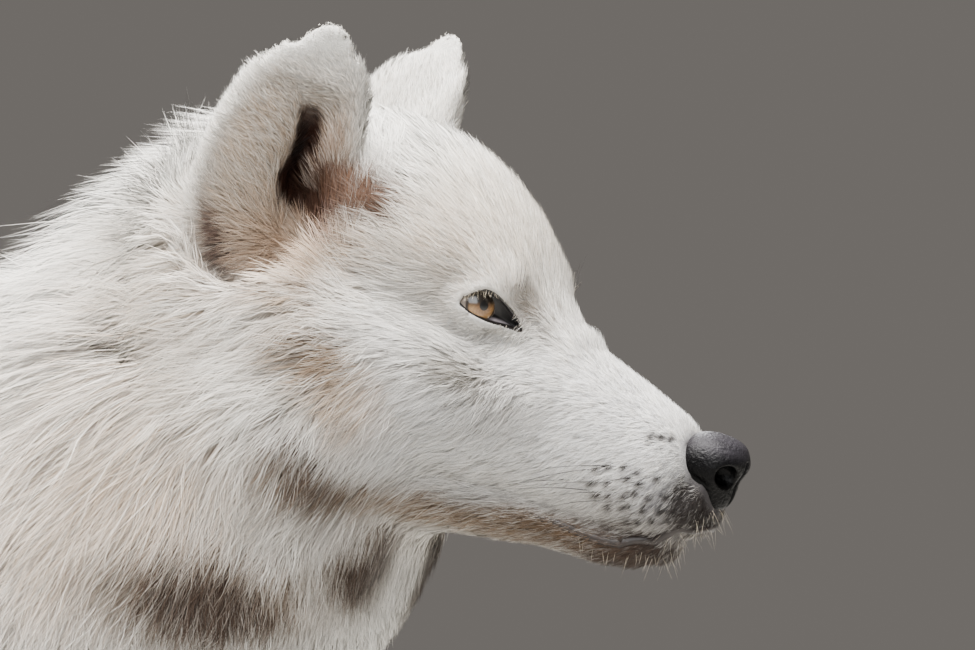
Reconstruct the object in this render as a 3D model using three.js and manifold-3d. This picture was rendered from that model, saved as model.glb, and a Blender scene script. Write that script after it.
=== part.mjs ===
// An arctic wolf standing at rest, life size, as a still museum model.
//
// The animal's outline is one smooth field: a number for every point of space, below zero inside the
// coat and above it outside. The field is a soft union of tapered masses, each named for what it is.
// Every part is that field meshed inside its own region, so neighbours meet in flat, thin cuts.
//
// Millimetres. +X is forward (the way the wolf looks), +Y is its left side, +Z is up, the floor is z = 0.
// While it is modelled x = 0 is at the withers; at the end the origin moves to the middle of the footprint.

import * as THREE from "three";
import { mergeVertices } from "three/addons/utils/BufferGeometryUtils.js";
import Module from "manifold-3d";

const wasm = await Module();
wasm.setup();

// ---------- Driving dimensions ----------
const withersHeight = 768; // top of the shoulders, coat included
const noseReach = 520; // nose tip ahead of the withers
const noseHeight = 745; // nose tip above the floor
const headPitch = THREE.MathUtils.degToRad(18); // how far the face points down
const neckRise = THREE.MathUtils.degToRad(31); // slope of the neck, up and forward
const neckRoot = { x: -20, z: 600 }; // where the neck's own axis starts, inside the chest
const cutGap = 0.3; // every thin cut between neighbours
const foreLegX = 30; // where the forelegs stand
const hindLegX = -636; // where the hind feet stand
const eyeRadius = 12.5;
const earHeight = 124;

// ---------- Small helpers ----------
const clamp = THREE.MathUtils.clamp;

// A smooth curve through [station, value] pairs, with slopes that never overshoot. It is level past its ends.
function profile(pairs) {
  const at = pairs.map((p) => p[0]);
  const value = pairs.map((p) => p[1]);
  const last = at.length - 1;
  const step = at.slice(1).map((a, i) => (value[i + 1] - value[i]) / (a - at[i]));
  const slope = at.map((_, i) => {
    if (i === 0 || i === last || step[i - 1] * step[i] <= 0) return 0;
    return (2 * step[i - 1] * step[i]) / (step[i - 1] + step[i]);
  });
  return (s) => {
    if (s <= at[0]) return value[0];
    if (s >= at[last]) return value[last];
    let i = 0;
    while (at[i + 1] < s) i++;
    const width = at[i + 1] - at[i];
    const u = (s - at[i]) / width;
    const v = 1 - u;
    return (
      value[i] * v * v * (1 + 2 * u) +
      value[i + 1] * u * u * (3 - 2 * u) +
      width * (slope[i] * u * v * v - slope[i + 1] * u * u * v)
    );
  };
}

// Two masses melted together over about `soft` millimetres; a negative mass carves with softCut.
function softUnion(a, b, soft) {
  const h = Math.max(soft - Math.abs(a - b), 0) / soft;
  return Math.min(a, b) - (h * h * soft) / 4;
}

function softCut(a, b, soft) {
  return -softUnion(-a, b, soft);
}

// A tapered mass along one axis. Its rows are stations: how far along, the section's upper and lower
// reach, its half width, and how far off the middle plane it lies. Its ends are rounded off.
function taperedMass({ rows, roundness = 2.2, nose = 20, rump = 20 }) {
  const column = (k) => profile(rows.map((r) => [r[0], r[k]]));
  const [upper, lower, half] = [column(1), column(2), column(3)];
  const aside = rows[0].length > 4 ? column(4) : () => 0;
  const [first, last] = [rows[0][0], rows[rows.length - 1][0]];
  return (along, up, side) => {
    const a = clamp(along, first, last);
    const middle = (upper(a) + lower(a)) / 2;
    const tall = (upper(a) - lower(a)) / 2;
    const wide = half(a);
    const over = Math.max(first - along, 0) / rump + Math.max(along - last, 0) / nose;
    const reach =
      Math.abs((up - middle) / tall) ** roundness +
      Math.abs((side - aside(a)) / wide) ** roundness +
      over ** roundness;
    return (reach ** (1 / roundness) - 1) * Math.min(tall, wide);
  };
}

// A rounded muscle or tuft, as an ellipsoid.
function muscle({ at, size, tilt = 0 }) {
  const [c, s] = [Math.cos(tilt), Math.sin(tilt)];
  return (along, up, side) => {
    const [a, u] = [along - at[0], up - at[1]];
    const reach = Math.hypot((a * c + u * s) / size[0], (u * c - a * s) / size[1], (side - at[2]) / size[2]);
    return (reach - 1) * Math.min(...size);
  };
}

// ---------- Head: its own frame ----------
// "back" runs from the nose tip towards the nape and "up" square to it, both in the middle plane.
const toHead = (x, z) => [
  (noseReach - x) * Math.cos(headPitch) + (z - noseHeight) * Math.sin(headPitch),
  (x - noseReach) * Math.sin(headPitch) + (z - noseHeight) * Math.cos(headPitch),
];
const fromHead = (back, up, side) =>
  new THREE.Vector3(
    noseReach - back * Math.cos(headPitch) + up * Math.sin(headPitch),
    side,
    noseHeight + back * Math.sin(headPitch) + up * Math.cos(headPitch),
  );

//           back   top  bottom  half width
const muzzle = taperedMass({
  rows: [
    [16, -8, -40, 19],
    [24, -1, -46, 24],
    [33, 6, -50, 29],
    [44, 11, -52, 31],
    [58, 16, -54, 33],
    [80, 23, -54, 37],
    [100, 30, -54, 44],
    [130, 34, -56, 54],
  ],
  roundness: 2.5,
  rump: 7,
});
const upperLip = muscle({ at: [18, -31, 0], size: [12.5, 12, 19] });
const chin = muscle({ at: [28, -49, 0], size: [17, 8.5, 14], tilt: -0.9 });
const lowerJaw = taperedMass({
  rows: [
    [29, -42, -60, 14],
    [38, -43, -66, 20],
    [52, -42, -69, 24],
    [75, -40, -70, 28],
    [110, -36, -76, 39],
    [150, -30, -84, 52],
  ],
  rump: 9,
});
const skull = taperedMass({
  rows: [
    [92, 25, -40, 31],
    [102, 36, -46, 37],
    [112, 50, -52, 44],
    [122, 62, -58, 52],
    [136, 75, -64, 60],
    [152, 86, -72, 68],
    [172, 95, -82, 76],
    [196, 99, -90, 83],
    [226, 96, -92, 90],
    [262, 84, -92, 98],
  ],
  roundness: 2.3,
  nose: 60,
  rump: 10,
});
const brow = muscle({ at: [120, 38, 35], size: [15, 9, 12] });
const cheekBone = muscle({ at: [150, -8, 52], size: [42, 24, 22] });
const cheekRuff = muscle({ at: [196, -34, 72], size: [52, 52, 42], tilt: 0.5 });
const eyeHollow = muscle({ at: [110, 23, 50], size: [24, 12, 17] });
const earBowl = muscle({ at: [229, 46, 80], size: [33, 48, 28] });
const lipFold = muscle({ at: [92, -50, 46], size: [20, 4, 9] });

function headField(back, up, side) {
  let d = softUnion(muzzle(back, up, side), upperLip(back, up, side), 8);
  d = softUnion(d, lowerJaw(back, up, side), 6);
  d = softUnion(d, chin(back, up, side), 6);
  d = softUnion(d, skull(back, up, side), 16);
  d = softUnion(d, brow(back, up, side), 12);
  d = softUnion(d, cheekBone(back, up, side), 24);
  d = softUnion(d, cheekRuff(back, up, side), 30);
  d = softCut(d, eyeHollow(back, up, side), 16);
  return softCut(d, lipFold(back, up, side), 6);
}

// ---------- Neck: along its own slope ----------
//        along   top  bottom  half width
const neck = taperedMass({
  rows: [
    [80, 132, -194, 150],
    [150, 124, -212, 158],
    [205, 116, -199, 152],
    [270, 109, -167, 138],
    [330, 107, -140, 128],
    [372, 108, -116, 118],
    [405, 104, -92, 104],
  ],
  roundness: 2.1,
  nose: 40,
  rump: 60,
});

function neckField(x, y, z) {
  const [ahead, above] = [x - neckRoot.x, z - neckRoot.z];
  return neck(
    ahead * Math.cos(neckRise) + above * Math.sin(neckRise),
    above * Math.cos(neckRise) - ahead * Math.sin(neckRise),
    Math.abs(y),
  );
}

// ---------- Trunk: along x ----------
//          x    top  bottom  half width
const barrel = taperedMass({
  rows: [
    [-688, 690, 545, 78],
    [-640, 722, 500, 112],
    [-560, 738, 474, 130],
    [-450, 738, 452, 134],
    [-340, 735, 424, 142],
    [-220, 738, 396, 151],
    [-100, 750, 374, 157],
    [0, withersHeight, 368, 158],
    [90, 760, 388, 146],
    [150, 720, 424, 124],
  ],
  roundness: 2.15,
  nose: 62,
  rump: 24,
});
const shoulder = muscle({ at: [62, 545, 112], size: [82, 150, 48], tilt: -0.35 });
const thigh = muscle({ at: [-572, 540, 92], size: [112, 150, 52], tilt: -0.25 });
const flankFold = muscle({ at: [-470, 440, 96], size: [60, 42, 30] });

// ---------- Legs: up and down ----------
// The stations are heights, "upper" and "lower" are the front and back edges, and the last is the side.
//              z  front  back  half width  side
const foreLeg = taperedMass({
  rows: [
    [0, foreLegX + 36, foreLegX - 26, 28, 86],
    [60, foreLegX + 34, foreLegX - 26, 27, 86],
    [110, foreLegX + 25, foreLegX - 25, 24, 86],
    [168, foreLegX + 29, foreLegX - 31, 28, 87],
    [225, foreLegX + 29, foreLegX - 34, 27, 88],
    [300, foreLegX + 35, foreLegX - 46, 33, 92],
    [380, foreLegX + 50, foreLegX - 66, 42, 98],
    [455, foreLegX + 82, foreLegX - 78, 48, 106],
  ],
  roundness: 2.1,
  nose: 60,
  rump: 10,
});
const hindLeg = taperedMass({
  rows: [
    [0, hindLegX + 32, hindLegX - 28, 26, 94],
    [60, hindLegX + 30, hindLegX - 28, 25, 94],
    [120, hindLegX + 21, hindLegX - 27, 22, 93],
    [190, hindLegX + 20, hindLegX - 36, 24, 92],
    [236, hindLegX + 30, hindLegX - 54, 27, 93],
    [270, hindLegX + 56, hindLegX - 46, 27, 95],
    [330, hindLegX + 128, hindLegX - 12, 36, 100],
    [400, hindLegX + 202, hindLegX + 12, 50, 102],
    [480, hindLegX + 206, hindLegX - 12, 58, 98],
    [560, hindLegX + 176, hindLegX - 34, 60, 90],
  ],
  roundness: 2.1,
  nose: 60,
  rump: 10,
});

// A paw is a heel pad and two pairs of toes: [ahead, up, aside, length, height, width], all half sizes.
const toeLayout = [
  [58, 17, 11, 27, 17, 13],
  [44, 16, 31, 25, 16, 12.5],
];
function pawField(standX, standY, size) {
  const heel = muscle({ at: [standX + 16, 20, standY], size: [50 * size, 27, 39 * size] });
  const toes = toeLayout.flatMap(([ahead, up, aside, a, h, w]) =>
    [-1, 1].map((hand) => {
      const at = [standX + 14 + ahead * size, up, standY + hand * aside * size];
      return muscle({ at, size: [a * size, h, w * size] });
    }),
  );
  return (x, y, z) => toes.reduce((d, toe) => softUnion(d, toe(x, z, y), 4), heel(x, z, y));
}
const forePaw = pawField(foreLegX, 86, 1);
const hindPaw = pawField(hindLegX, 94, 0.92);

// ---------- Tail: hanging, stations are heights ----------
const tail = taperedMass({
  rows: [
    [318, -778, -800, 10],
    [345, -764, -816, 25],
    [400, -744, -842, 46],
    [480, -730, -850, 58],
    [560, -716, -828, 53],
    [620, -694, -796, 46],
    [665, -662, -756, 42],
    [692, -630, -722, 38],
  ],
  roundness: 2,
  nose: 18,
  rump: 10,
});

// ---------- The whole outline ----------
function trunkField(x, y, z) {
  const side = Math.abs(y);
  let d = softUnion(barrel(x, z, side), neckField(x, y, z), 70);
  d = softUnion(d, shoulder(x, z, side), 55);
  d = softUnion(d, thigh(x, z, side), 60);
  d = softUnion(d, flankFold(x, z, side), 50);
  return d;
}

function legField(x, y, z) {
  const side = Math.abs(y);
  const legs = Math.min(foreLeg(z, x, side), hindLeg(z, x, side));
  const paws = Math.min(forePaw(x, side, z), hindPaw(x, side, z));
  return softUnion(legs, paws, 22);
}

function wolfField(x, y, z) {
  const [back, up] = toHead(x, z);
  const side = Math.abs(y);
  let d = trunkField(x, y, z);
  d = softUnion(d, headField(back, up, side), 26);
  d = softCut(d, earBowl(back, up, side), 10);
  d = softUnion(d, legField(x, y, z), 34);
  d = softUnion(d, tail(z, x, y), 26);
  return d;
}

// ---------- Meshing the field ----------
// A cell whose inside corners, or outside corners, fall into separate groups would pinch the mesh. The
// smallest such group changes sides, until every cell is simple. The grid's rim always stays outside.
function untangle(value, count, index) {
  const offsets = [...Array(8)].map((_, n) => [n & 1, (n >> 1) & 1, n >> 2]);
  const beside = (m, n) => [1, 2, 4].includes(m ^ n);
  const onRim = (c) => c.some((v, axis) => v === 0 || v === count[axis]);

  function groupsOf(signs) {
    const groups = [];
    const seen = new Set();
    for (let n = 0; n < 8; n++) {
      if (seen.has(n)) continue;
      const group = [n];
      seen.add(n);
      for (const m of group)
        for (let q = 0; q < 8; q++)
          if (!seen.has(q) && signs[q] === signs[m] && beside(m, q)) {
            seen.add(q);
            group.push(q);
          }
      groups.push(group);
    }
    return groups;
  }

  for (let pass = 0, changed = true; changed && pass < 12; pass++) {
    changed = false;
    for (let k = 0; k < count[2]; k++)
      for (let j = 0; j < count[1]; j++)
        for (let i = 0; i < count[0]; i++) {
          const corners = offsets.map(([a, b, c]) => [i + a, j + b, k + c]);
          const signs = corners.map((c) => value[index(...c)] < 0);
          if (signs.every((sign) => sign === signs[0])) continue;
          const groups = groupsOf(signs);
          if (groups.length < 3) continue;
          const inside = (group) => signs[group[0]];
          const alike = (group) => groups.filter((g) => inside(g) === inside(group));
          const apart = groups.filter((group) => alike(group).length > 1);
          const free = apart.filter((group) => inside(group) || !group.some((n) => onRim(corners[n])));
          free.sort((a, b) => a.length - b.length);
          for (const n of free[0] ?? []) value[index(...corners[n])] = signs[n] ? 0.01 : -0.01;
          changed = true;
        }
  }
}

// Cells that the surface passes through get one corner each, pulled onto the surface, and every grid
// edge that crosses the surface gets a face between its four cells. The mesh closes at the box's walls.
function meshOf(field, low, high, cell, level = 0) {
  const grid = low.map((l, axis) => gradedStations(l, high[axis], cell[axis]));
  const count = grid.map((g) => g.length - 1);
  const boxed = (x, y, z) => {
    const wall = Math.max(low[0] - x, x - high[0], low[1] - y, y - high[1], low[2] - z, z - high[2]);
    return Math.max(field(x, y, z) - level, wall);
  };
  const index = (i, j, k) => (k * grid[1].length + j) * grid[0].length + i;
  const value = new Float64Array(grid[0].length * grid[1].length * grid[2].length);
  grid[2].forEach((z, k) =>
    grid[1].forEach((y, j) =>
      grid[0].forEach((x, i) => {
        value[index(i, j, k)] = boxed(x, y, z);
      }),
    ),
  );
  untangle(value, count, index);

  const corners = [];
  const cornerOf = new Int32Array(value.length).fill(-1);
  for (let k = 0; k < count[2]; k++)
    for (let j = 0; j < count[1]; j++)
      for (let i = 0; i < count[0]; i++) {
        const corner = cellCorner(i, j, k);
        if (!corner) continue;
        cornerOf[index(i, j, k)] = corners.length / 3;
        corners.push(...corner);
      }

  function cellCorner(i, j, k) {
    const cellLow = [grid[0][i], grid[1][j], grid[2][k]];
    const cellSize = [grid[0][i + 1], grid[1][j + 1], grid[2][k + 1]].map((v, n) => v - cellLow[n]);
    const sum = [0, 0, 0];
    let crossings = 0;
    for (let axis = 0; axis < 3; axis++)
      for (let e = 0; e < 4; e++) {
        const from = [0, 0, 0];
        from[(axis + 1) % 3] = e & 1;
        from[(axis + 2) % 3] = e >> 1;
        const to = [...from];
        to[axis] = 1;
        const a = value[index(i + from[0], j + from[1], k + from[2])];
        const b = value[index(i + to[0], j + to[1], k + to[2])];
        if (a < 0 === b < 0) continue;
        from[axis] = a / (a - b);
        for (let n = 0; n < 3; n++) sum[n] += from[n];
        crossings++;
      }
    if (!crossings) return null;
    const start = cellLow.map((v, n) => v + (sum[n] / crossings) * cellSize[n]);
    return onSurface(start, cellLow, cellSize);
  }

  // A few steps down the field's slope, kept inside the cell.
  function onSurface(start, cellLow, cellSize) {
    let p = start;
    const probe = 0.5;
    const rim = 0.03;
    for (let turn = 0; turn < 3; turn++) {
      const here = boxed(...p);
      const slope = p.map((_, n) => {
        const q = [...p];
        q[n] += probe;
        return (boxed(...q) - here) / probe;
      });
      const steep = slope.reduce((t, g) => t + g * g, 1e-9);
      p = p.map((v, n) => {
        const moved = v - (here * slope[n]) / steep;
        return clamp(moved, cellLow[n] + rim * cellSize[n], cellLow[n] + (1 - rim) * cellSize[n]);
      });
    }
    return p;
  }

  const faces = [];
  for (let k = 0; k < count[2]; k++)
    for (let j = 0; j < count[1]; j++)
      for (let i = 0; i < count[0]; i++)
        for (let axis = 0; axis < 3; axis++) {
          const step = [0, 0, 0];
          step[axis] = 1;
          const here = value[index(i, j, k)] < 0;
          if (here === value[index(i + step[0], j + step[1], k + step[2])] < 0) continue;
          const [p, q] = [[0, 0, 0], [0, 0, 0]];
          p[(axis + 1) % 3] = 1;
          q[(axis + 2) % 3] = 1;
          const at = (m, n) =>
            cornerOf[index(i - m * p[0] - n * q[0], j - m * p[1] - n * q[1], k - m * p[2] - n * q[2])];
          const [a, b, c, d] = [at(0, 0), at(1, 0), at(1, 1), at(0, 1)];
          faces.push(...(here ? [a, b, c, a, c, d] : [a, c, b, a, d, c]));
        }
  const geometry = new THREE.BufferGeometry();
  geometry.setAttribute("position", new THREE.Float32BufferAttribute(corners, 3));
  geometry.setIndex(faces);
  return geometry;
}

// Grid stations half a cell outside both walls. A cell given as [at low, at high] grows evenly between.
function gradedStations(low, high, cell) {
  const [first, last] = [cell].flat().length > 1 ? cell : [cell, cell];
  const cells = Math.max(2, Math.ceil((2 * (high - low)) / (first + last)));
  return [...Array(cells + 2)].map((_, i) => {
    const u = (i - 0.5) / cells;
    return low + ((high - low) * u * (first + ((last - first) * u) / 2)) / ((first + last) / 2);
  });
}

// ---------- Solids ----------
function solidOf(geometry) {
  const plain = geometry.clone();
  plain.deleteAttribute("normal");
  plain.deleteAttribute("uv");
  const merged = mergeVertices(plain, 1e-4);
  const mesh = new wasm.Mesh({
    numProp: 3,
    vertProperties: new Float32Array(merged.attributes.position.array),
    triVerts: new Uint32Array(merged.index.array),
  });
  return new wasm.Manifold(mesh);
}

function geometryOf(solid) {
  const mesh = solid.getMesh();
  const geometry = new THREE.BufferGeometry();
  geometry.setAttribute("position", new THREE.Float32BufferAttribute(mesh.vertProperties, 3));
  geometry.setIndex([...mesh.triVerts]);
  return geometry;
}

function boxSolid(low, high) {
  const size = high.map((h, k) => h - low[k]);
  const middle = high.map((h, k) => (h + low[k]) / 2);
  return solidOf(new THREE.BoxGeometry(...size).translate(...middle));
}

// A big block on the positive side of a plane that stands square to the middle plane.
function halfSpace(point, towards, gap = 0) {
  const reach = 1500;
  const angle = Math.atan2(towards.z, towards.x);
  const block = new THREE.BoxGeometry(reach, reach, reach).translate(reach / 2 + gap, 0, 0);
  return solidOf(block.rotateY(-angle).translate(point.x, 0, point.z));
}

// The largest body of a cut, so that a sliver at its edge can't stay behind.
function mainBody(solid) {
  return solid.decompose().sort((a, b) => b.volume() - a.volume())[0];
}

function mirrored(geometry) {
  const copy = geometry.clone().scale(1, -1, 1);
  const order = [...copy.index.array];
  for (let i = 0; i < order.length; i += 3) [order[i + 1], order[i + 2]] = [order[i + 2], order[i + 1]];
  return copy.setIndex(order);
}

// ---------- Where the thin cuts run ----------
// Side views of the head's and the lower jaw's regions, as [back, up]: the head's runs down behind the
// ears and the cheeks to the throat, and the jaw's follows the closed mouth and then drops to the throat.
const headOutline = [[-60, 180], [-60, -180], [122, -180], [126, -84], [262, -10], [288, 70], [300, 180]];
const mouthLine = [[-12, -38], [8, -42], [28, -51], [52, -55], [76, -54], [94, -50]];
const jawOutline = [...mouthLine, [116, -66], [116, -140], [-12, -140]];
const neckCut = { point: new THREE.Vector3(40, 0, 770), towards: new THREE.Vector3(0.8, 0, 0.6) };
const tailCutX = -712;
const foreLegBox = { low: [-92, 52, -20], high: [170, 260, 452] };
const hindLegBox = { low: [tailCutX, 46, -20], high: [-418, 260, 590] };
const wristHeight = 146;
const hockHeight = 208;

const grown = (box, gap) => ({ low: box.low.map((v) => v - gap), high: box.high.map((v) => v + gap) });
const bothSides = (box) => {
  const right = {
    low: [box.low[0], -box.high[1], box.low[2]],
    high: [box.high[0], -box.low[1], box.high[2]],
  };
  return boxSolid(box.low, box.high).add(boxSolid(right.low, right.high));
};

// ---------- Trunk, neck and tail ----------
function makeTrunk() {
  const body = solidOf(meshOf(wolfField, [tailCutX - 10, -216, 340], [330, 216, 800], [68, 56, 54]));
  const trimmed = body
    .subtract(halfSpace(neckCut.point, neckCut.towards, -cutGap / 2))
    .subtract(bothSides(grown(foreLegBox, cutGap)))
    .subtract(bothSides(grown(hindLegBox, cutGap)))
    .intersect(boxSolid([tailCutX + cutGap, -400, 0], [500, 400, 1000]));
  return mainBody(trimmed);
}

const neckMesh = (level) =>
  solidOf(meshOf(wolfField, [20, -200, 440], [440, 200, 960], [[46, 27], 37, 34], level));

function makeNeck() {
  const ahead = halfSpace(neckCut.point, neckCut.towards, cutGap / 2);
  const headRoom = outlineBlock(headOutline, [1.3 * cutGap, -1.3 * cutGap]);
  return mainBody(neckMesh(0).intersect(ahead).subtract(headRoom));
}

function makeTail() {
  const body = solidOf(meshOf(wolfField, [-880, -72, 296], [-690, 72, 760], [33, 30, 46]));
  return mainBody(body.intersect(boxSolid([-1000, -200, 200], [tailCutX, 200, 800])));
}

// ---------- Legs and feet, left side; the right is its mirror image ----------
function makeLeg(box, footTop, cell) {
  const low = [box.low[0] - 8, 30, footTop - 30];
  const high = [box.high[0] + 8, 216, box.high[2] + 20];
  const body = solidOf(meshOf(wolfField, low, high, cell));
  return mainBody(body.intersect(boxSolid([box.low[0], box.low[1], footTop + cutGap], box.high)));
}

function makeFoot(standX, standY, top, claws) {
  const [low, high] = [
    [standX - 62, standY - 50, -12],
    [standX + 112, standY + 50, top + 24],
  ];
  const body = solidOf(meshOf(wolfField, low, high, [20, 15, [20, 70]]));
  const clawed = claws.reduce((all, claw) => all.add(claw), body);
  return mainBody(clawed.intersect(boxSolid([-1000, 0, 0], [1000, 400, top])));
}

// A claw is a cone that leaves the toe's tip, pointing forward and a little down.
function makeClaws(standX, standY, size) {
  const clawLength = 30;
  const clawRadius = 4.2;
  return toeLayout.flatMap(([ahead, , aside, length]) =>
    [-1, 1].map((hand) => {
      const cone = new THREE.ConeGeometry(clawRadius, clawLength, 6).rotateZ(-Math.PI / 2 - 0.34);
      cone.translate(standX + 14 + (ahead + length) * size + 2, standY + hand * aside * size, 14);
      return solidOf(cone);
    }),
  );
}

// ---------- Head pieces ----------
const headBox = { low: [200, -156, 620], high: [540, 156, 940] };
const headCell = [[24, 8.5], 13.5, 13];
const eyeCentre = fromHead(136.5, 27, 34);

// A block whose side view is an outline of [back, up] points, slid by `shift` to leave a gap.
function outlineBlock(outline, shift) {
  const corners = outline.map(([back, up]) => new THREE.Vector2(back + shift[0], up + shift[1]));
  const shape = new THREE.Shape(corners);
  const width = 500;
  const block = new THREE.ExtrudeGeometry(shape, { depth: width, bevelEnabled: false });
  const place = new THREE.Matrix4().makeBasis(
    new THREE.Vector3(-Math.cos(headPitch), 0, Math.sin(headPitch)),
    new THREE.Vector3(Math.sin(headPitch), 0, Math.cos(headPitch)),
    new THREE.Vector3(0, 1, 0),
  );
  place.setPosition(noseReach, -width / 2, noseHeight);
  return solidOf(block.applyMatrix4(place));
}

// The nose pad is a rounded wedge at the tip of the muzzle, with a nostril on each side.
function makeNosePad(headGrown) {
  const pad = new THREE.SphereGeometry(1, 10, 7);
  const point = pad.attributes.position;
  for (let i = 0; i < point.count; i++) {
    const [a, u, w] = [point.getX(i), point.getZ(i), point.getY(i)];
    const narrow = u < 0 ? 1 + 0.45 * u : 1;
    const inFront = fromHead(15 - 15 * a - 4 * Math.min(u, 0), -7 + 14 * u, 18 * w * narrow);
    point.setXYZ(i, inFront.x, inFront.y, inFront.z);
  }
  const pads = [-1, 1].reduce((solid, hand) => {
    const nostril = new THREE.SphereGeometry(4.2, 5, 4).scale(1.2, 1, 0.9);
    const at = fromHead(3.5, -7, hand * 10.5);
    return solid.subtract(solidOf(nostril.translate(at.x, at.y, at.z)));
  }, orientedOut(pad));
  return mainBody(pads.subtract(headGrown));
}

// Turns a closed geometry's faces round where its own mapping has turned it inside out.
function orientedOut(geometry) {
  const solid = solidOf(geometry);
  return solid.volume() > 0 ? solid : solidOf(turned(geometry));
}

function turned(geometry) {
  const order = [...geometry.index.array];
  for (let i = 0; i < order.length; i += 3) [order[i + 1], order[i + 2]] = [order[i + 2], order[i + 1]];
  return geometry.clone().setIndex(order);
}

// An ear is a cupped leaf. `across` runs edge to edge over the cup's back and `rise` from root to tip.
const earRoot = { back: 228, up: 4, side: 64 };
const earTurn = THREE.MathUtils.degToRad(62); // the opening faces this far out from straight ahead
const earSplay = 0.14; // how far the tip leans outwards
const earHalf = profile([[0, 24], [0.14, 33], [0.36, 38], [0.6, 34], [0.78, 27.5], [0.91, 19.5], [1, 8.5]]);
const earMiddle = profile([[0, 0], [0.4, -1], [0.7, -4], [1, -10]]);
const earDepth = profile([[0, 22], [0.2, 31], [0.4, 26], [0.65, 16], [0.87, 8], [1, 4]]);

// A point of the cup, `skin` millimetres outside its outer face.
function earPoint(across, rise, skin) {
  const angle = across * THREE.MathUtils.degToRad(98);
  const width = earMiddle(rise) + (earHalf(rise) + skin) * Math.sin(angle);
  const depth = -(earDepth(rise) + skin) * Math.cos(angle);
  const back = earRoot.back + width * Math.sin(earTurn) - depth * Math.cos(earTurn);
  const lean = earSplay * earHeight * rise;
  const side = earRoot.side + width * Math.cos(earTurn) + depth * Math.sin(earTurn) + lean;
  return fromHead(back, earRoot.up + earHeight * rise, side);
}

// The ear itself, or with `grow` the slot that holds its root in the head.
function makeEar(grow) {
  const [columns, rows] = [8, 6];
  const thick = 4.5;
  const ring = 2 * columns;
  const spread = 1 + 0.02 * grow;
  const positions = [];
  for (let j = 0; j <= rows; j++) {
    const rise = 1.01 - (1 - j / rows) ** 1.15 * (1.01 + 0.012 * grow);
    const wall = Math.min(thick, 0.7 * earDepth(rise));
    for (let i = 0; i < ring; i++) {
      const outside = i < columns;
      const across = outside ? (2 * (i + 0.5)) / columns - 1 : 1 - (2 * (i - columns + 0.5)) / columns;
      positions.push(...earPoint(across * spread, rise, outside ? grow : -wall - grow).toArray());
    }
  }
  positions.push(...earPoint(0, -0.012 * grow, -thick / 2).toArray(), ...earPoint(0, 1.02, -1).toArray());
  const [bottom, top] = [ring * (rows + 1), ring * (rows + 1) + 1];
  const faces = [];
  for (let i = 0; i < ring; i++) {
    const n = (i + 1) % ring;
    for (let j = 0; j < rows; j++) {
      const [a, b, c, d] = [j * ring + i, j * ring + n, (j + 1) * ring + n, (j + 1) * ring + i];
      faces.push(a, b, c, a, c, d);
    }
    faces.push(bottom, n, i, top, rows * ring + i, rows * ring + n);
  }
  const geometry = new THREE.BufferGeometry();
  geometry.setAttribute("position", new THREE.Float32BufferAttribute(positions, 3));
  geometry.setIndex(faces);
  return solidOf(geometry).volume() > 0 ? geometry : turned(geometry);
}

function eyeball(radius, hand) {
  return new THREE.SphereGeometry(radius, 11, 8).translate(eyeCentre.x, hand * eyeCentre.y, eyeCentre.z);
}

const headMesh = (level) => solidOf(meshOf(wolfField, headBox.low, headBox.high, headCell, level));

function makeHead() {
  const earSlot = makeEar(1.5 * cutGap);
  const holes = [earSlot, mirrored(earSlot), eyeball(eyeRadius + cutGap, 1), eyeball(eyeRadius + cutGap, -1)];
  const whole = headMesh(0).intersect(outlineBlock(headOutline, [0, 0]));
  const front = mainBody(holes.reduce((solid, hole) => solid.subtract(solidOf(hole)), whole));
  return {
    head: mainBody(front.subtract(outlineBlock(jawOutline, [1.3 * cutGap, 1.3 * cutGap]))),
    jaw: mainBody(front.intersect(outlineBlock(jawOutline, [0, 0]))),
  };
}

// ---------- Coat colours ----------
const coatFinish = { roughness: 0.85, metalness: 0 };
const materials = {
  coat: new THREE.MeshStandardMaterial({ color: 0xe9e2d6, ...coatFinish }),
  face: new THREE.MeshStandardMaterial({ color: 0xe4dfd6, ...coatFinish }),
  ear: new THREE.MeshStandardMaterial({ color: 0xd9c9b6, ...coatFinish }),
  nose: new THREE.MeshStandardMaterial({ color: 0x17171a, roughness: 0.45, metalness: 0 }),
  eye: new THREE.MeshStandardMaterial({ color: 0xb4823f, roughness: 0.1, metalness: 0 }),
};

// ---------- Assembly ----------
const wolf = new THREE.Group();

function addNode(name, geometry, material) {
  const mesh = new THREE.Mesh(geometry, material);
  mesh.name = name;
  wolf.add(mesh);
}

function addPair(name, leftGeometry, material) {
  addNode(`${name}_left`, leftGeometry, material);
  addNode(`${name}_right`, mirrored(leftGeometry), material);
}

addNode("trunk", geometryOf(makeTrunk()), materials.coat);
addNode("neck", geometryOf(makeNeck()), materials.coat);
addNode("tail", geometryOf(makeTail()), materials.coat);

const { head, jaw } = makeHead();
const headGrown = headMesh(2.8 * cutGap);
addNode("head", geometryOf(head), materials.face);
addNode("lower_jaw", geometryOf(jaw), materials.face);
addNode("nose_pad", geometryOf(makeNosePad(headGrown)), materials.nose);
addPair("ear", makeEar(0), materials.ear);
addPair("eye", eyeball(eyeRadius, 1), materials.eye);

addPair("foreleg", geometryOf(makeLeg(foreLegBox, wristHeight, [30, 30, 54])), materials.coat);
addPair("hindleg", geometryOf(makeLeg(hindLegBox, hockHeight, [40, 32, 52])), materials.coat);
const foreFoot = makeFoot(foreLegX, 86, wristHeight, makeClaws(foreLegX, 86, 1));
const hindFoot = makeFoot(hindLegX, 94, hockHeight, makeClaws(hindLegX, 94, 0.92));
addPair("forefoot", geometryOf(foreFoot), materials.coat);
addPair("hindfoot", geometryOf(hindFoot), materials.coat);

// The origin goes to the middle of the footprint, on the floor.
const bounds = new THREE.Box3().setFromObject(wolf);
wolf.position.x = -(bounds.min.x + bounds.max.x) / 2;

export default wolf;
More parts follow.
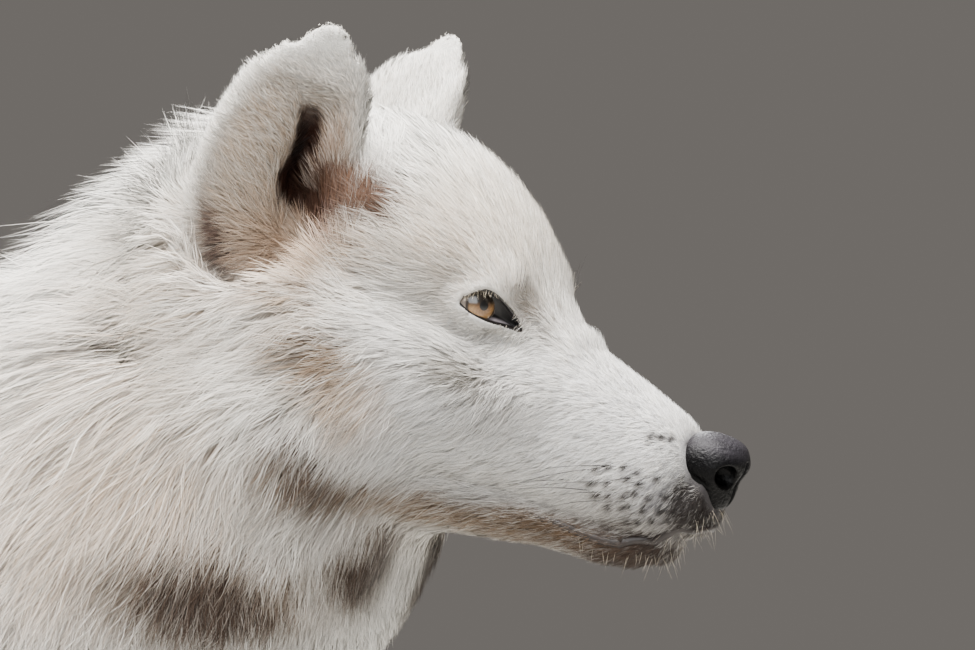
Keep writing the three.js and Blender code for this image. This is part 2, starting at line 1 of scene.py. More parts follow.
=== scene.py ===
# %% [markdown]
# # An arctic wolf
#
# A life-size museum model of a standing wolf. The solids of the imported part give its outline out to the
# tips of the fur. Here the wolf gets what the eye looks for: one skin, wet eyes with lids, a nose of
# pebbled leather, lips, claws, whiskers, and a coat of real strands.

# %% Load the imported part
import bpy
import numpy as np
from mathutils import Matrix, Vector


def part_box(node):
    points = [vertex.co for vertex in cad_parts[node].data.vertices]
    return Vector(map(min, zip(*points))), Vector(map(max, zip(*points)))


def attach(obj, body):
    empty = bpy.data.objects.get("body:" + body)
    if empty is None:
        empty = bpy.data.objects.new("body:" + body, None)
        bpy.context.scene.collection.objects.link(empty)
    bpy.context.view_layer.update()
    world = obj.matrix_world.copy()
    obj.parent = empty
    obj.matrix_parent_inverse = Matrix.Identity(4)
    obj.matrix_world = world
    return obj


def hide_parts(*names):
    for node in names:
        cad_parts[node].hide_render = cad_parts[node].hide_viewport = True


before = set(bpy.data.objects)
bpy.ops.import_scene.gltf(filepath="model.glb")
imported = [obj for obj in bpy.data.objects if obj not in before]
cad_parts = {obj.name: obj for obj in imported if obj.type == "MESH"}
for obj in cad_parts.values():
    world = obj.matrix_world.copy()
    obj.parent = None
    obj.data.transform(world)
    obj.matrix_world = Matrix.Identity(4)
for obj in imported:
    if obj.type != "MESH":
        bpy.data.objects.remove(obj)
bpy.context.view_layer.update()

eye_low, eye_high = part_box("eye_left")

# %% [markdown]
# ## Two frames
#
# A sculptor measures a head along its own axes, not the floor's. So the head's sizes are written as
# (back from the nose tip, up, out to the side), in millimetres, and the body's as (forward of the
# withers, out to the side, above the floor). One function turns each into the scene's metres. The eye of
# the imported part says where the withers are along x.

# %% Frames
MM = 0.001
nose_reach = 520.0
nose_height = 745.0
head_pitch = np.radians(18.0)
eye_place = np.array([136.5, 27.0, 34.0])


def head_to_body(place):
    """Back, up and out from the nose tip become x, y, z: a turn by the head's pitch, then a shift."""
    back, up, out = np.moveaxis(np.asarray(place, float), -1, 0)
    x = nose_reach - back * np.cos(head_pitch) + up * np.sin(head_pitch)
    z = nose_height + back * np.sin(head_pitch) + up * np.cos(head_pitch)
    return np.stack([x, out, z], -1)


def body_to_head(point):
    """The same turn the other way round. The side is measured outwards, so both halves look alike."""
    ahead, above = point[..., 0] - nose_reach, point[..., 2] - nose_height
    back = -ahead * np.cos(head_pitch) + above * np.sin(head_pitch)
    up = ahead * np.sin(head_pitch) + above * np.cos(head_pitch)
    return np.stack([back, up, np.abs(point[..., 1])], -1)


def head_direction(lie):
    """A direction given as back, up and out, as x, y, z."""
    return head_to_body(lie) - head_to_body([0.0, 0.0, 0.0])


withers_x = (eye_low[0] + eye_high[0]) / 2 / MM - head_to_body(eye_place)[0]


def to_metres(point):
    """Millimetres from the withers become the scene's metres."""
    return (np.asarray(point) + [withers_x, 0.0, 0.0]) * MM


print("the withers stand at x =", round(withers_x, 1), "mm")

# %% [markdown]
# ## The camera
#
# A long lens from four metres away, level with the wolf's eye, looks twenty degrees from square on to its
# right side. A long lens keeps the proportions of the head true, as a portrait lens does.

# %% Camera
look = np.radians(20.0)
right = np.array([np.cos(look), np.sin(look), 0.0])
toward = np.array([np.sin(look), -np.cos(look), 0.0])
aim_behind_nose, aim_above_nose, camera_away = 117.6, 58.2, 4000
aim = np.array([nose_reach, 0.0, nose_height]) - aim_behind_nose * right + [0.0, 0.0, aim_above_nose]
lens = bpy.data.cameras.new("portrait lens")
lens.sensor_width, lens.lens, lens.clip_end = 36.0, 332.3, 60.0
camera = bpy.data.objects.new("portrait camera", lens)
camera.location = to_metres(aim + camera_away * toward)
camera.rotation_euler = (np.pi / 2, 0.0, look)
bpy.context.collection.objects.link(camera)
bpy.context.scene.camera = camera
print("the camera stands at", [round(v, 3) for v in camera.location])

# %% [markdown]
# ## The body as a field
#
# A wolf has no flat side to start from. Its body is a number for every point of space, below zero inside
# and above it outside, and the surface is where the number is zero. Simple masses, each tapered along
# its own axis, are melted together, as clay is pressed on to clay. Masses melt without seams, which is
# why a field is used here and not a cage of faces.

# %% Tools of the field
def profile(pairs):
    """A smooth curve through (station, value) pairs that never overshoots, level past its ends."""
    at, value = np.array(pairs, float).T
    step = np.diff(value) / np.diff(at)
    slope = np.zeros_like(at)
    same = step[:-1] * step[1:] > 0
    slope[1:-1][same] = (2 * step[:-1] * step[1:])[same] / (step[:-1] + step[1:])[same]
    dense = np.linspace(at[0], at[-1], 600)
    i = np.clip(np.searchsorted(at, dense, "right") - 1, 0, len(at) - 2)
    width = at[i + 1] - at[i]
    u = (dense - at[i]) / width
    v = 1 - u
    curve = value[i] * v * v * (1 + 2 * u) + value[i + 1] * u * u * (3 - 2 * u)
    curve += width * (slope[i] * u * v * v - slope[i + 1] * u * u * v)
    return lambda s: np.interp(s, dense, curve)


def soft_union(a, b, soft):
    """The smaller of two fields, rounded where they come within `soft` of each other."""
    h = np.maximum(soft - np.abs(a - b), 0) / soft
    return np.minimum(a, b) - h * h * soft / 4


def soft_cut(a, b, soft):
    """The first field with the second carved out of it."""
    return -soft_union(-a, b, soft)


def smooth_step(value, low, high):
    """0 below low, 1 above high, and an S-curve between."""
    t = np.clip((value - low) / (high - low), 0, 1)
    return t * t * (3 - 2 * t)


def full_turn(count):
    """Evenly spaced angles once round a circle."""
    return np.linspace(0, 2 * np.pi, count, endpoint=False)


def tapered_mass(rows, roundness=2.2, nose=20.0, rump=20.0):
    """Rows are (station, upper reach, lower reach, half width, offset to the side). The field is how far
    a point lies outside the section's rounded rectangle, as a share of it, times the section's size."""
    rows = np.array(rows, float)
    first, last = rows[0, 0], rows[-1, 0]
    curves = [profile(rows[:, [0, k]]) for k in range(1, rows.shape[1])]

    def field(along, up, side):
        a = np.clip(along, first, last)
        upper, lower, half, *aside = [curve(a) for curve in curves]
        middle, tall = (upper + lower) / 2, (upper - lower) / 2
        over = np.maximum(first - along, 0) / rump + np.maximum(along - last, 0) / nose
        off = side - (aside[0] if aside else 0)
        reach = np.abs((up - middle) / tall) ** roundness
        reach = reach + np.abs(off / half) ** roundness + over**roundness
        return (reach ** (1 / roundness) - 1) * np.minimum(tall, half)

    return field


def muscle(at, size, tilt=0.0):
    """An ellipsoid, tilted in the side view."""
    c, s = np.cos(tilt), np.sin(tilt)

    def field(along, up, side):
        a, u = along - at[0], up - at[1]
        along_it, across_it = (a * c + u * s) / size[0], (u * c - a * s) / size[1]
        return (np.sqrt(along_it**2 + across_it**2 + ((side - at[2]) / size[2]) ** 2) - 1) * min(size)

    return field


def catmull_rom(a, b, c, d, u):
    """The cubic from b to c, for u from 0 to 1. Its slope at each end joins that end's two neighbours."""
    return 0.5 * (2 * b + (c - a) * u + (2 * a - 5 * b + 4 * c - d) * u**2 + (3 * b - a - 3 * c + d) * u**3)


def open_curve(points, count):
    """That cubic along a row of points from end to end, evenly spaced by length."""
    p = np.array(points, float)
    p = np.vstack([2 * p[0] - p[1], p, 2 * p[-1] - p[-2]])
    t = np.linspace(0, len(p) - 3 - 1e-9, 24 * len(p))
    i, u = t.astype(int), (t % 1)[:, None]
    fine = catmull_rom(*(p[i + k] for k in range(4)), u)
    run = np.append(0, np.cumsum(np.linalg.norm(np.diff(fine, axis=0), axis=1)))
    even = np.linspace(0, run[-1], count)
    return np.stack([np.interp(even, run, fine[:, k]) for k in range(3)], -1)

# %% [markdown]
# ## The masses
#
# These are the same masses as the solids', so the coat's tips end where the solids do. Head rows run
# back from the nose tip, neck rows up along the neck, trunk rows along x, and legs and tail by height.

# %% Masses of the head and neck
muzzle = tapered_mass(
    [
        (16, -8, -40, 19), (24, -1, -46, 24), (33, 6, -50, 29), (44, 11, -52, 31), (58, 16, -54, 33),
        (80, 23, -54, 37), (100, 30, -54, 44), (130, 34, -56, 54),
    ],
    roundness=2.5, rump=7,
)  # fmt: skip
upper_lip = muscle((18, -31, 0), (12.5, 12, 19))
lower_jaw = tapered_mass(
    [
        (29, -42, -60, 14), (38, -43, -66, 20), (52, -42, -69, 24),
        (75, -40, -70, 28), (110, -36, -76, 39), (150, -30, -84, 52),
    ],
    rump=9,
)  # fmt: skip
chin = muscle((28, -49, 0), (17, 8.5, 14), -0.9)
skull = tapered_mass(
    [
        (92, 25, -40, 31), (102, 36, -46, 37), (112, 50, -52, 44), (122, 62, -58, 52), (136, 75, -64, 60),
        (152, 86, -72, 68), (172, 95, -82, 76), (196, 99, -90, 83), (226, 96, -92, 90), (262, 84, -92, 98),
    ],
    roundness=2.3, nose=60, rump=10,
)  # fmt: skip
brow = muscle((120, 38, 35), (15, 9, 12))
cheek_bone = muscle((150, -8, 52), (42, 24, 22))
cheek_ruff = muscle((196, -34, 72), (52, 52, 42), 0.5)
eye_hollow = muscle((110, 23, 50), (24, 12, 17))
lip_fold = muscle((92, -50, 46), (20, 4, 9))
ear_bowl = muscle((229, 46, 80), (33, 48, 28))
head_forms = [
    (upper_lip, 8), (lower_jaw, 6), (chin, 6), (skull, 16), (brow, 12), (cheek_bone, 24), (cheek_ruff, 30),
]  # fmt: skip

neck_root = (-20.0, 600.0)
neck_rise = np.radians(31.0)
neck = tapered_mass(
    [
        (80, 132, -194, 150), (150, 124, -212, 158), (205, 116, -199, 152), (270, 109, -167, 138),
        (330, 107, -140, 128), (372, 108, -116, 118), (405, 104, -92, 104),
    ],
    roundness=2.1, nose=40, rump=60,
)  # fmt: skip


def head_field(back, up, out):
    """The muzzle and the head's other forms melted together, less the hollow ahead of the eye and the
    fold behind the lips."""
    d = muzzle(back, up, out)
    for form, soft in head_forms:
        d = soft_union(d, form(back, up, out), soft)
    d = soft_cut(d, eye_hollow(back, up, out), 16)
    return soft_cut(d, lip_fold(back, up, out), 6)


def neck_frame(x, z):
    """How far along the neck's axis a point is, and how far above it: a turn by the neck's rise."""
    ahead, above = x - neck_root[0], z - neck_root[1]
    c, s = np.cos(neck_rise), np.sin(neck_rise)
    return ahead * c + above * s, above * c - ahead * s


def neck_field(x, y, z):
    """The neck's mass, in a frame that rises with the neck."""
    return neck(*neck_frame(x, z), y)

# %% Masses of the trunk, legs and tail
fore_x, fore_y = 30.0, 86.0
hind_x, hind_y = -636.0, 94.0
barrel = tapered_mass(
    [
        (-688, 690, 545, 78), (-640, 722, 500, 112), (-560, 738, 474, 130), (-450, 738, 452, 134),
        (-340, 735, 424, 142), (-220, 738, 396, 151), (-100, 750, 374, 157), (0, 768, 368, 158),
        (90, 760, 388, 146), (150, 720, 424, 124),
    ],
    roundness=2.15, nose=62, rump=24,
)  # fmt: skip
shoulder = muscle((62, 545, 112), (82, 150, 48), -0.35)
thigh = muscle((-572, 540, 92), (112, 150, 52), -0.25)
flank_fold = muscle((-470, 440, 96), (60, 42, 30))
fore_leg = tapered_mass(
    [
        (0, fore_x + 36, fore_x - 26, 28, 86), (60, fore_x + 34, fore_x - 26, 27, 86),
        (110, fore_x + 25, fore_x - 25, 24, 86), (168, fore_x + 29, fore_x - 31, 28, 87),
        (225, fore_x + 29, fore_x - 34, 27, 88), (300, fore_x + 35, fore_x - 46, 33, 92),
        (380, fore_x + 50, fore_x - 66, 42, 98), (455, fore_x + 82, fore_x - 78, 48, 106),
    ],
    roundness=2.1, nose=60, rump=10,
)  # fmt: skip
hind_leg = tapered_mass(
    [
        (0, hind_x + 32, hind_x - 28, 26, 94), (60, hind_x + 30, hind_x - 28, 25, 94),
        (120, hind_x + 21, hind_x - 27, 22, 93), (190, hind_x + 20, hind_x - 36, 24, 92),
        (236, hind_x + 30, hind_x - 54, 27, 93), (270, hind_x + 56, hind_x - 46, 27, 95),
        (330, hind_x + 128, hind_x - 12, 36, 100), (400, hind_x + 202, hind_x + 12, 50, 102),
        (480, hind_x + 206, hind_x - 12, 58, 98), (560, hind_x + 176, hind_x - 34, 60, 90),
    ],
    roundness=2.1, nose=60, rump=10,
)  # fmt: skip
tail = tapered_mass(
    [
        (318, -778, -800, 10), (345, -764, -816, 25), (400, -744, -842, 46), (480, -730, -850, 58),
        (560, -716, -828, 53), (620, -694, -796, 46), (665, -662, -756, 42), (692, -630, -722, 38),
    ],
    roundness=2, nose=18, rump=10,
)  # fmt: skip
# Each toe: ahead, up, aside, then half its length, height and width.
toe_layout = [(58, 17, 11, 27, 17, 13), (44, 16, 31, 25, 16, 12.5)]
hind_size = 0.92


def paw_field(stand_x, stand_y, size, x, y, z):
    """A heel pad and two pairs of toes, as ellipsoids."""
    d = muscle((stand_x + 16, 20, stand_y), (50 * size, 27, 39 * size))(x, z, y)
    for ahead, up, aside, a, h, w in toe_layout:
        for hand in (-1, 1):
            at = (stand_x + 14 + ahead * size, up, stand_y + hand * aside * size)
            d = soft_union(d, muscle(at, (a * size, h, w * size))(x, z, y), 4)
    return d


def trunk_field(x, y, z):
    """Barrel, neck, shoulders, thighs and flanks."""
    d = soft_union(barrel(x, z, y), neck_field(x, y, z), 70)
    for form, soft in ((shoulder, 55), (thigh, 60), (flank_fold, 50)):
        d = soft_union(d, form(x, z, y), soft)
    return d


def leg_field(x, y, z):
    """The nearer leg, and the nearer paw."""
    legs = np.minimum(fore_leg(z, x, y), hind_leg(z, x, y))
    fore_paw, hind_paw = paw_field(fore_x, fore_y, 1.0, x, y, z), paw_field(hind_x, hind_y, hind_size, x, y, z)
    paws = np.minimum(fore_paw, hind_paw)
    return soft_union(legs, paws, 22)

# %% [markdown]
# ## Ears
#
# A wolf's ear is a cupped leaf: wide and deep at the root, flat and narrow at the tip, with its opening
# turned outwards. Measured in the ear's own frame, its wall is the skin of an elliptic cone. The cup is
# part of the field too, so that it grows out of the skull with no seam.

# %% The ear as a wall of the field
ear_root = (228.0, 4.0, 64.0)
ear_height = 124.0
ear_turn = np.radians(62.0)
ear_splay = 0.14
ear_half = profile([(0, 24), (0.14, 33), (0.36, 38), (0.6, 34), (0.78, 27.5), (0.91, 20), (1, 15)])
ear_middle = profile([(0, 0), (0.4, -1), (0.7, -4), (1, -10)])
ear_depth = profile([(0, 22), (0.2, 31), (0.4, 26), (0.65, 16), (0.87, 8), (1, 4)])
ear_wall = profile([(0, 8), (0.3, 6), (0.8, 5), (1, 4.6)])
ear_swellings = [((52, 13, -8), (56, 20, 12)), ((66, -22, -7), (34, 9, 6)), ((14, 8, -9), (26, 22, 14))]
ear_slit_places = [(82, -6, 0), (70, -8, 0), (59, -6, 0), (49, -6, 0), (46, -17, 0), (53, -31, 0)]
ear_slit = open_curve(ear_slit_places, 24)[:, :2]
ear_tip_from, ear_tip_reach = 0.905, 14.0


def ear_frame(back, up, out):
    """How far up the ear a point is (0 to 1), how far across the opening, and how far out of the cup."""
    rise = (up - ear_root[1]) / ear_height
    off_back = back - ear_root[0]
    off_out = out - ear_root[2] - ear_splay * ear_height * rise
    across = off_back * np.sin(ear_turn) + off_out * np.cos(ear_turn) - ear_middle(rise)
    outward = off_out * np.sin(ear_turn) - off_back * np.cos(ear_turn)
    return rise, across, outward


def slit_gap(rise, across):
    """How far a point is from the line of the dark fold, seen straight into the ear."""
    gap = np.full(rise.shape, 99.0)
    near = (rise > 0.1) & (rise < 0.95) & (np.abs(across) < 60)
    spot = np.stack([rise[near] * ear_height, across[near]], -1)
    gap[near] = np.linalg.norm(spot[:, None] - ear_slit, axis=-1).min(1)
    return gap


def ear_field(back, up, out):
    """An elliptic cone less a smaller one, with furry swellings inside and the dark fold cut between them.
    It is closed at the tip by a dome, at the rim by a plane and at the root by another."""
    rise, across, outward = ear_frame(back, up, out)
    half, depth, wall = ear_half(rise), ear_depth(rise), ear_wall(rise)
    inset = 2.6 - 1.9 * smooth_step(rise, 0.7, 0.92)
    outer = (np.sqrt((across / half) ** 2 + (outward / depth) ** 2) - 1) * np.minimum(half, depth) + inset
    half, depth = np.maximum(half - wall - 2, 0.5), np.maximum(depth - wall - 2, 0.5)
    hollow = (np.sqrt((across / half) ** 2 + (outward / depth) ** 2) - 1) * np.minimum(half, depth)
    hollow = hollow + 9 * smooth_step(rise, 0.72, 0.86)
    cup = soft_cut(outer, hollow, 1.5)
    for at, size in ear_swellings:
        cup = soft_union(cup, muscle(at, size)(rise * ear_height, across, outward), 6)
    cup = soft_cut(cup, np.maximum(slit_gap(rise, across) - 3.6, -0.6 * depth - outward), 4)
    above_dome = np.maximum(rise - ear_tip_from, 0) * ear_height
    tip = np.hypot(above_dome, across) - ear_tip_reach - 40 * (rise < ear_tip_from)
    rim, base = outward - 0.14 * (depth + wall), -14 - rise * ear_height
    return soft_cut(soft_cut(soft_cut(cup, -rim, 4), -tip, 4), -base, 8)

# %% [markdown]
# ## How deep the fur is
#
# The skin lies under the outline by the depth of the coat: a few millimetres on the muzzle, about four
# centimetres on the neck and back. The depth is a few smooth ramps, so that the skin has no steps.

# %% Depth of the coat
face_depth = profile(
    [(0, 1.5), (30, 2.5), (90, 3.5), (125, 6), (160, 11), (200, 19), (250, 30), (320, 40), (400, 44)]
)
tail_depth = profile([(318, 6), (400, 30), (620, 34)])
leg_depth = profile([(0, 3), (60, 5), (170, 7), (280, 9), (360, 15), (430, 26), (520, 36)])


def coat_depth(x, y, z):
    """Millimetres between the skin and the tips of the coat."""
    head = body_to_head(np.stack([x, y, z], -1))
    back, up = head[..., 0], head[..., 1]
    crown = smooth_step(up, 20, 80) * (1 - smooth_step(back, 215, 290))
    throat = smooth_step(-up, 72, 110) * smooth_step(back, 60, 140)
    face = face_depth(back) * (1 - 0.45 * crown) - 2 * throat
    face = face * (1 - 0.7 * np.exp(-(((head - eye_place) / 22) ** 2).sum(-1)))
    bowl = 1 - smooth_step(ear_bowl(back, up, head[..., 2]), 0, 24)
    face = face + bowl * (9 - face)
    body = np.where(x < -700, np.minimum(leg_depth(z), 36), leg_depth(z))
    body = np.where(x < -705, tail_depth(z), body)
    on_body = np.maximum(smooth_step(back, 300, 420), smooth_step(-up, 120, 240))
    return face + (body - face) * on_body


def outline_field(x, y, z):
    """The tips of the coat: trunk, head, legs and tail melted together, with the ears' bowls carved."""
    back, up, out = np.moveaxis(body_to_head(np.stack([x, y, z], -1)), -1, 0)
    d = soft_union(trunk_field(x, y, z), head_field(back, up, out), 26)
    d = soft_cut(d, ear_bowl(back, up, out) + 9, 10)
    d = soft_union(d, leg_field(x, y, z), 34)
    return soft_union(d, tail(z, x, y), 26)

# %% [markdown]
# ## Eyelids
#
# A wolf's eye opening is an almond whose inner end runs forward into a dark tear corner. It doesn't lie
# in a plane: it wraps round the eyeball. A handful of named places on the lid's edge is joined into one
# smooth closed loop, and the skin, the lids and the lashes all follow that loop.

# %% The loop of the lids
def closed_curve(points, count):
    """The Catmull-Rom cubic carried once round a loop of points."""
    p = np.array(points, float)
    t = np.arange(count) * len(p) / count
    i, u = t.astype(int), (t % 1)[:, None]
    return catmull_rom(*(p[(i + k) % len(p)] for k in (-1, 0, 1, 2)), u)


lid_points = [
    (137.6, 27.7, 46.5), (134.5, 32.5, 45.8), (127.7, 36.6, 41.5), (119.5, 32.4, 34.8),
    (112.2, 22.8, 26.5), (117.5, 22.4, 32.4), (125, 22.6, 39.8), (132.5, 24.6, 45.2),
]  # fmt: skip
lid_steps = 96
lid_loop = closed_curve(lid_points, lid_steps)
lid_centre = lid_loop.mean(0)
inner_end = lid_loop[lid_steps // 2]
lid_u = (lid_loop[0] - inner_end) / np.linalg.norm(lid_loop[0] - inner_end)
lid_w = np.cross(lid_u, [0, 1, 0])
lid_w /= np.linalg.norm(lid_w)
lid_v = np.cross(lid_w, lid_u)
lid_uv = (lid_loop - lid_centre) @ np.stack([lid_u, lid_v], 1)
lid_turn = np.arctan2(lid_uv[:, 1], lid_uv[:, 0])
order = np.argsort(lid_turn)
lid_turn, lid_reach = lid_turn[order], np.linalg.norm(lid_uv, axis=1)[order]
print("the eye looks out along", lid_w.round(2), "and opens", round(float(np.ptp(lid_uv[:, 1])), 1), "mm")

# %% [markdown]
# The lids are skin drawn up to that loop: a soft roll follows it, and inside it the skin is cut away down
# to the eyeball. Working this out is slow, so it is done only near the eye.

# %% Lids of the skin
lid_ball_radius = 14.0


def opening_field(place):
    """Below zero inside the almond: the distance from the loop's middle less the loop's own reach."""
    off = place - lid_centre
    u, v, w = off @ lid_u, off @ lid_v, off @ lid_w
    reach = np.interp(np.arctan2(v, u), lid_turn, lid_reach, period=2 * np.pi)
    return np.maximum(np.hypot(u, v) - reach, -6.5 - w)


def lid_field(d, place):
    """Melt a roll round the loop into the skin field d, then cut the almond out."""
    near = np.linalg.norm(place - lid_centre, axis=-1) < 34
    spot = place[near]
    gap = np.linalg.norm(spot[:, None] - lid_loop[None, ::2], axis=-1).min(1)
    ball = np.linalg.norm(spot - eye_place, axis=-1) - lid_ball_radius
    fold = soft_union(soft_union(d[near], ball, 6), gap - 2.2, 6)
    d = d.copy()
    d[near] = soft_cut(fold, opening_field(spot), 1.2)
    return d


def skin_field(x, y, z):
    """The outline less the coat, with the ears' walls and the lids melted in."""
    place = body_to_head(np.stack([x, y, z], -1))
    back, up, out = np.moveaxis(place, -1, 0)
    d = outline_field(x, np.abs(y), z) + coat_depth(x, np.abs(y), z)
    d = np.maximum(d, 0.3 - z)
    return lid_field(soft_union(d, ear_field(back, up, out), 7), place)

# %% [markdown]
# ## From a field to a mesh
#
# Space is cut into cells, small where the face is and large on the back. Every cell that the surface
# passes through gets one corner, and every grid line that pierces the surface gets a face between its
# four cells. This is called a surface net. It makes even quads, and it is all array work.

# %% The net's grid
def stations(*spans):
    """Each span (from, to, step) is cut into even steps, and the spans are joined into one rising row."""
    rows = [np.linspace(a, b, max(round((b - a) / step), 1) + 1)[:-1] for a, b, step in spans]
    return np.concatenate([*rows, [spans[-1][1]]])


def in_chunks(field, points, size=150_000):
    """The field at many points, a part at a time, so that the memory stays small."""
    return np.concatenate([field(*points[i : i + size].T) for i in range(0, len(points), size)])


def cell_corners(values):
    """The eight corner values of every cell, as eight arrays."""
    ends = slice(0, -1), slice(1, None)
    return [values[a, b, c] for a in ends for b in ends for c in ends]


def grid_values(field, axes, block=4):
    """A rough pass takes every fourth station. Only blocks that the surface may touch are done finely."""
    coarse = [np.append(np.arange(0, len(a) - 1, block), len(a) - 1) for a in axes]
    rough_points = np.stack(np.meshgrid(*[a[c] for a, c in zip(axes, coarse)], indexing="ij"), -1)
    rough = in_chunks(field, rough_points.reshape(-1, 3)).reshape(rough_points.shape[:3])
    corners = np.stack(cell_corners(rough))
    steps = [np.diff(a[c]) for a, c in zip(axes, coarse)]
    reach = np.sqrt(steps[0][:, None, None] ** 2 + steps[1][None, :, None] ** 2 + steps[2][None, None, :] ** 2)
    near = (np.abs(corners).min(0) < 1.5 * reach) | ((corners < 0).any(0) & (corners >= 0).any(0))
    low = [np.minimum(np.arange(len(a)) // block, n - 1) for a, n in zip(axes, near.shape)]
    before = [np.maximum(np.arange(len(a)) - 1, 0) // block for a in axes]
    wanted = np.zeros([len(a) for a in axes], bool)
    for pick in np.ndindex(2, 2, 2):
        wanted |= near[np.ix_(*[(low, before)[p][n] for n, p in enumerate(pick)])]
    value = rough[np.ix_(*low)]
    spots = np.stack([a[i] for a, i in zip(axes, np.nonzero(wanted))], -1)
    value[wanted] = in_chunks(field, spots)
    return value

# %% The net's corners and faces
def net_corners(value, axes):
    """In each mixed cell, the mean of the places where the cell's edges cross the surface."""
    inside = value < 0
    full = sum(corner.astype(np.uint8) for corner in cell_corners(inside))
    cell = np.stack(np.nonzero((full > 0) & (full < 8)), -1)
    number = np.full(full.shape, -1)
    number[tuple(cell.T)] = np.arange(len(cell))
    total, crossings = np.zeros((len(cell), 3)), np.zeros(len(cell))
    for axis in range(3):
        for beside in np.ndindex(2, 2):
            start = np.insert(np.array(beside), axis, 0)
            end = np.insert(np.array(beside), axis, 1)
            a, b = value[tuple((cell + start).T)], value[tuple((cell + end).T)]
            cross = (a < 0) != (b < 0)
            share = np.where(cross, a / np.where(cross, a - b, 1), 0)
            total[cross] += start
            total[:, axis] += share
            crossings += cross
    share = total / crossings[:, None]
    low_corner = np.stack([a[i] for a, i in zip(axes, cell.T)], -1)
    size = np.stack([np.diff(a)[i] for a, i in zip(axes, cell.T)], -1)
    return low_corner + share * size, size, number


def net_faces(value, number):
    """For each grid edge that changes side, the four cells round it, wound to face outwards."""
    inside, faces = value < 0, []
    for axis in range(3):
        first, second = (axis + 1) % 3, (axis + 2) % 3
        a, b = np.moveaxis(inside, axis, 0)[:-1], np.moveaxis(inside, axis, 0)[1:]
        change = np.moveaxis(a != b, 0, axis)
        edge = np.stack(np.nonzero(change), -1)
        edge = edge[(edge[:, first] > 0) & (edge[:, second] > 0)]
        edge = edge[(edge[:, first] < value.shape[first] - 1) & (edge[:, second] < value.shape[second] - 1)]
        ring = []
        for da, db in ((-1, -1), (0, -1), (0, 0), (-1, 0)):
            cell = edge.copy()
            cell[:, first] += da
            cell[:, second] += db
            ring.append(number[tuple(cell.T)])
        quad = np.stack(ring, -1)
        leaving = inside[tuple(edge.T)]
        faces.append(np.where(leaving[:, None], quad, quad[:, ::-1]))
    return np.concatenate(faces)

# %% [markdown]
# The net's corners are then slid along the field's slope until they lie on the surface. The same slope,
# made one unit long, is the direction straight out of the skin, which the coat needs later.

# %% Slopes, and one side mirrored to the other
def slope_of(field, points, step=0.5):
    """The field's slope by central differences, a row of (x, y, z) for each point."""
    columns = []
    for axis in range(3):
        shift = np.zeros(3)
        shift[axis] = step
        columns.append((in_chunks(field, points + shift) - in_chunks(field, points - shift)) / (2 * step))
    return np.stack(columns, -1)


def straight_out(field, points):
    """The slope made one unit long."""
    slope = slope_of(field, points)
    return slope / np.maximum(np.linalg.norm(slope, axis=1, keepdims=True), 1e-9)


def flat_on(direction, normal):
    """A direction laid flat on the skin: its part along the normal is taken off, and it is made one long."""
    flat = direction - (direction * normal).sum(1, keepdims=True) * normal
    return flat / np.maximum(np.linalg.norm(flat, axis=1, keepdims=True), 1e-6)


def settle(field, points, cell=None, rounds=2):
    """Newton's step: move by the field's value divided by its slope, never over half a cell."""
    for _ in range(rounds):
        slope = slope_of(field, points)
        square = np.maximum((slope**2).sum(1), 0.05)
        step = -in_chunks(field, points)[:, None] * slope / square[:, None]
        points = points + (step if cell is None else np.clip(step, -0.5 * cell, 0.5 * cell))
    return points


def both_sides(points, faces, middle):
    """Copy the left half to the right across y = 0. Corners in the middle are shared."""
    points = points.copy()
    points[middle, 1] = 0
    twin = np.arange(len(points))
    twin[~middle] = len(points) + np.arange((~middle).sum())
    copies = points[~middle] * [1, -1, 1]
    return np.vstack([points, copies]), np.vstack([faces, twin[faces][:, ::-1]])


def half_mesh(field, axes):
    """The left half of a mirrored body as a net: y starts half a cell below zero."""
    value = grid_values(field, axes)
    points, size, number = net_corners(value, axes)
    faces = net_faces(value, number)
    middle = np.zeros(len(points), bool)
    middle[number[:, 0][number[:, 0] >= 0]] = True
    points[middle, 1] = 0
    points = settle(field, points, size)
    return both_sides(points, faces, middle)

# %% Put arrays into a mesh
def new_piece(name, points, faces, smooth=True):
    """Fill a mesh from an array of points in millimetres and an array of faces, or a list of both."""
    mesh = bpy.data.meshes.new(name)
    flat = np.ascontiguousarray(faces, dtype=np.int32)
    corners = flat.shape[1]
    mesh.vertices.add(len(points))
    mesh.vertices.foreach_set("co", to_metres(points).astype(np.float32).ravel())
    mesh.loops.add(flat.size)
    mesh.loops.foreach_set("vertex_index", flat.ravel())
    mesh.polygons.add(len(flat))
    mesh.polygons.foreach_set("loop_start", np.arange(len(flat), dtype=np.int32) * corners)
    mesh.polygons.foreach_set("use_smooth", np.full(len(flat), smooth))
    mesh.update(calc_edges=True)
    mesh.validate()
    piece = bpy.data.objects.new(name, mesh)
    bpy.context.collection.objects.link(piece)
    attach(piece, "root")
    print(name, "has", len(points), "points and", len(flat), "faces")
    return piece


def give_colour(piece, name, colour):
    """Store one colour for each point of a piece, as linear red, green and blue."""
    rgba = np.ones((len(colour), 4), np.float32)
    rgba[:, :3] = colour
    piece.data.color_attributes.new(name, "FLOAT_COLOR", "POINT").data.foreach_set("color", rgba.ravel())

# %% [markdown]
# ## The skin
#
# Cells are about 3 mm on the head and 1.3 mm round the eye, 5 mm on the paws and 1 cm on the trunk, where
# the coat hides everything.

